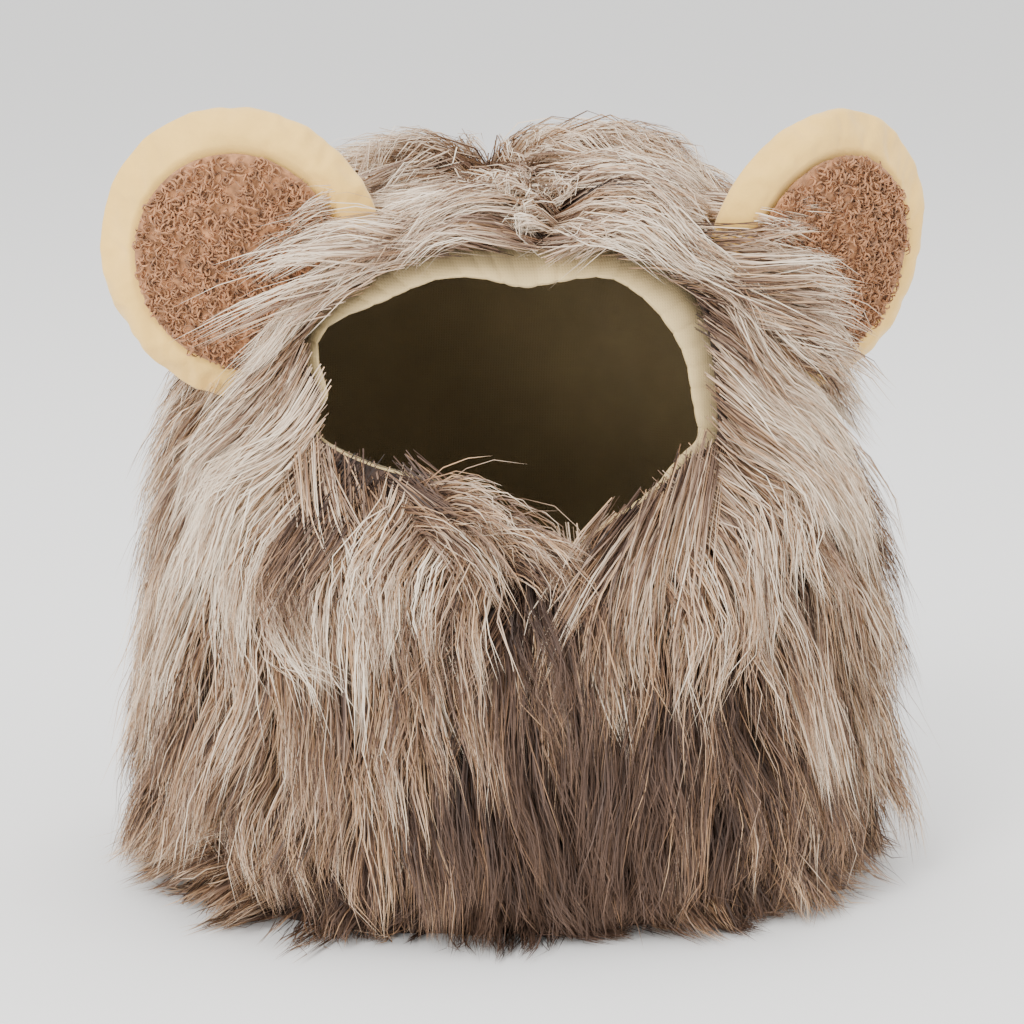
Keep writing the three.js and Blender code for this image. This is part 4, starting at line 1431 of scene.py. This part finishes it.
def stuffed_ear(ear, finish):
    """A cloth bag between rows of the ear's section, swollen by its filling."""
    rows = np.array(EAR_ROWS)
    turn = round_steps(EAR_COLUMNS)
    seed = 31 if ear.side == "left" else 37
    round_ = np.stack([np.cos(turn), np.sin(turn)], -1)
    pucker = cloudy(round_, 0.11, seed) * 0.6 + cloudy(round_, 0.05, seed + 1) * 0.4
    near_seam = np.exp(-(((rows[:, 0] - 0.975) / 0.07) ** 2))[:, None] * (rows[:, 1:2] > -0.7)
    radius = rows[:, :1] * (1 + 0.016 * near_seam * pucker[None])
    height = rows[:, 1:2] + 0.14 * near_seam * (0.4 + np.abs(rows[:, 1:2])) * pucker[None]
    grid = ear_points(ear, radius, turn[None], height * EAR_THICKNESS / 2)
    body = grid[1:-1].reshape(-1, 3)
    points = np.concatenate([body, grid[0, :1], grid[-1, :1]])
    count = len(rows) - 2
    faces = [quad[::-1] for quad in grid_faces(count, EAR_COLUMNS)]
    last = (count - 1) * EAR_COLUMNS
    for i in range(EAR_COLUMNS):
        j = (i + 1) % EAR_COLUMNS
        faces.append((len(body), i, j))
        faces.append((len(body) + 1, last + j, last + i))
    thing = new_piece(f"stuffed_ear_{ear.side}", points, faces, finish)
    held_rows = [i for i in range(count) if rows[i + 1, 2]]
    held = [i * EAR_COLUMNS + c for i in held_rows for c in range(EAR_COLUMNS)] + [len(body) + 1]
    swell(thing, held)
    thing.modifiers.new("smooth", "SUBSURF").levels = 1
    settle(thing)
    cut(thing, hood_core(BACKING_WALL + CLEARANCE), "DIFFERENCE")
    dress(thing, "ear_cloth", f"ear_{ear.side}")


# The patch's ground sinks towards its rim and lies a little deep under the curls.
PATCH_SHARE, PATCH_DROP, GROUND_SINK, GROUND_LUMPS = 0.96, 2.6 * MM, 1.6 * MM, 0.45 * MM
PATCH_ROWS, PATCH_COLUMNS = 26, 120
CURLS = 1750
CURL_STEPS, CURL_SIDES = 6, 3
CURL_LIFT, CURL_THICK, CURL_BEND = 0.7 * MM, 0.32 * MM, 1.75 * math.pi


def boucle_patch(ear, finish, seed):
    """A domed ground with a thick cover of small curls standing on it."""
    chance = np.random.default_rng(seed)
    share = PATCH_SHARE * ear.patch[0] / ear.rim[0]

    def top(radius):
        return EAR_THICKNESS / 2 + PATCH_BULGE - PATCH_DROP * radius**3 - GROUND_SINK

    rows, columns = PATCH_ROWS, PATCH_COLUMNS
    turn, radius = np.meshgrid(round_steps(columns), np.linspace(0.04, 1, rows))
    upper = ear_points(ear, share * radius, turn, top(radius))
    upper = upper + (GROUND_LUMPS * cloudy(upper, 1.5 * MM, seed))[..., None] * ear.out
    under = EAR_THICKNESS / 2 - PATCH_THICKNESS
    lower = ear_points(ear, share * np.ones(columns), turn[0], under)
    centre = ear_points(ear, np.zeros(2), np.zeros(2), np.array([top(0), under]))
    points = np.concatenate([upper.reshape(-1, 3), lower, centre])
    faces = [quad[::-1] for quad in grid_faces(rows + 1, columns)]
    total = (rows + 1) * columns
    for i in range(columns):
        j = (i + 1) % columns
        faces.append((total, i, j))
        faces.append((total + 1, total - columns + j, total - columns + i))
    ground = new_piece(f"boucle_ground_{ear.side}", points, faces, finish)
    cut(ground, hood_core(BACKING_WALL + CLEARANCE), "DIFFERENCE")
    dress(ground, "boucle", f"ear_patch_{ear.side}")
    reach = 0.985 * np.sqrt(chance.uniform(0, 1, CURLS))
    around = chance.uniform(0, 2 * math.pi, CURLS)
    root = ear_points(ear, share * reach, around, top(reach) + CURL_LIFT)
    reach, root = (kept[~inside_hood(root, BACKING_WALL + 1 * MM)] for kept in (reach, root))
    count = len(root)
    axis = unit(chance.normal(0, 1, (count, 3)) + 0.2 * ear.out)
    first = unit(np.cross(axis, chance.normal(0, 1, (count, 3))))
    second = np.cross(axis, first)
    size = chance.uniform(0.7, 1.35, count)[:, None, None] * MM
    bend = np.linspace(0, CURL_BEND, CURL_STEPS + 1)[None, :, None]
    rise = np.linspace(-0.5, 0.5, CURL_STEPS + 1)[None, :, None] * size
    line = root[:, None] + size * (np.cos(bend) * first[:, None] + np.sin(bend) * second[:, None])
    line = line + rise * axis[:, None]
    heading = unit(np.gradient(line, axis=1))
    beside = np.broadcast_to(axis[:, None], heading.shape)
    above = unit(np.cross(heading, beside))
    thick = CURL_THICK * np.sin(np.linspace(0.35, math.pi - 0.35, CURL_STEPS + 1))[None, :, None]
    ring = []
    for side in range(CURL_SIDES):
        lean = 2 * math.pi * side / CURL_SIDES
        ring.append(line + thick * (math.cos(lean) * beside + math.sin(lean) * above))
    tubes = np.stack(ring, 2).reshape(count, -1, 3)
    each = (CURL_STEPS + 1) * CURL_SIDES
    pattern = grid_faces(CURL_STEPS + 1, CURL_SIDES) + [[2, 1, 0], [each - 3, each - 2, each - 1]]
    joined = [[c * each + v for v in face] for c in range(count) for face in pattern]
    curls = new_piece(f"boucle_curls_{ear.side}", tubes.reshape(-1, 3), joined, finish)
    dress(curls, "boucle", f"ear_patch_{ear.side}")


class MANE_OT_ears(bpy.types.Operator):
    """Stuff both ears and set their boucle patches in"""

    bl_idname = "mane.ears"
    bl_label = "Ears"

    def execute(self, context):
        colours = context.scene.mane_colours
        cloth, pile = velour(colours.ear), boucle(colours.patch)
        for seed, ear in enumerate(EARS.values()):
            stuffed_ear(ear, cloth)
            boucle_patch(ear, pile, 50 + seed)
        return {"FINISHED"}


FLOOR_HALF, WORLD_STRENGTH = 6.0, 1.45
# Name, place, size and strength of each soft light, in metres and watts.
LIGHTS = (
    ("low", (-0.8, -1.1, 0.25), 0.5, 6.0),
    ("key", (-0.7, -1.0, 1.2), 0.7, 21.0),
    ("fill", (1.2, -0.8, 0.7), 1.1, 5.0),
    ("top", (0.1, 0.3, 1.5), 1.0, 11.0),
)
LIGHT_AIM = (0, 0, 0.09)
# The photograph looks down a little and from a little left of the wig's front.
CAMERA_AZIMUTH, CAMERA_ELEVATION = math.radians(-9), math.radians(11)
CAMERA_DISTANCE, WIDTH_SEEN, SENSOR_WIDTH = 0.9, 0.263, 36


def point_at(thing, way):
    """Turns a light or a camera to look that way."""
    thing.rotation_mode = "QUATERNION"
    thing.rotation_quaternion = way.to_track_quat("-Z", "Y")


class MANE_OT_stage(bpy.types.Operator):
    """Set up the floor, the soft studio light and the camera"""

    bl_idname = "mane.stage"
    bl_label = "Stage"

    def execute(self, context):
        scene = context.scene
        colours = scene.mane_colours
        material, tree = new_material("matt_studio_paper")
        shader = add_node(
            tree, "ShaderNodeBsdfPrincipled",
            values={"Base Color": linear(colours.floor), "Roughness": 0.9},
        )
        add_node(tree, "ShaderNodeOutputMaterial", links={"Surface": (shader, 0)})
        half = FLOOR_HALF
        corners = [(-half, -half, 0), (half, -half, 0), (half, half, 0), (-half, half, 0)]
        floor = new_piece("studio_floor", corners, [(0, 1, 2, 3)], material, False)
        world = scene.world = bpy.data.worlds.new("studio")
        world.use_nodes = True
        background = world.node_tree.nodes["Background"].inputs
        background["Color"].default_value = (1, 1, 1, 1)
        background["Strength"].default_value = WORLD_STRENGTH
        for name, place, size, power in LIGHTS:
            data = bpy.data.lights.new(name, "AREA")
            data.shape = "DISK"
            data.size = size
            data.energy = power
            lamp = linked(name, data)
            lamp.location = place
            point_at(lamp, Vector(LIGHT_AIM) - lamp.location)
        data = bpy.data.cameras.new("camera")
        data.sensor_width = SENSOR_WIDTH
        data.lens = SENSOR_WIDTH * CAMERA_DISTANCE / WIDTH_SEEN
        camera = scene.camera = linked("camera", data)
        flat = math.cos(CAMERA_ELEVATION)
        back = Vector(
            (
                math.sin(CAMERA_AZIMUTH) * flat,
                -math.cos(CAMERA_AZIMUTH) * flat,
                math.sin(CAMERA_ELEVATION),
            )
        )
        target = Vector((HOOD.x, HOOD.y - 2 * MM, 91.6 * MM))
        camera.location = target + CAMERA_DISTANCE * back
        point_at(camera, -back)
        return {"FINISHED"}


class MANE_PT_wig(bpy.types.Panel):
    """The steps that build the wig, in order, with its sizes and colours"""

    bl_idname = "MANE_PT_wig"
    bl_label = "Lion mane wig"
    bl_space_type = "VIEW_3D"
    bl_region_type = "UI"
    bl_category = "Mane"

    def draw(self, context):
        layout = self.layout
        for step in STEPS:
            layout.operator(step.bl_idname)
        for group in (context.scene.mane_sizes, context.scene.mane_colours):
            for name in group.__annotations__:
                layout.prop(group, name)


STEPS = (
    MANE_OT_stage, MANE_OT_lining, MANE_OT_band, MANE_OT_tab, MANE_OT_ears, MANE_OT_fur,
)
CLASSES = (ManeSizes, ManeColours, *STEPS, MANE_PT_wig)


def register():
    for kind in CLASSES:
        bpy.utils.register_class(kind)
    bpy.types.Scene.mane_sizes = bpy.props.PointerProperty(type=ManeSizes)
    bpy.types.Scene.mane_colours = bpy.props.PointerProperty(type=ManeColours)


def unregister():
    del bpy.types.Scene.mane_sizes
    del bpy.types.Scene.mane_colours
    for kind in reversed(CLASSES):
        bpy.utils.unregister_class(kind)


def main():
    register()
    bpy.ops.mane.stage()
    bpy.ops.mane.lining()
    bpy.ops.mane.band()
    bpy.ops.mane.tab()
    bpy.ops.mane.ears()
    bpy.ops.mane.fur()


if __name__ == "__main__":
    main()
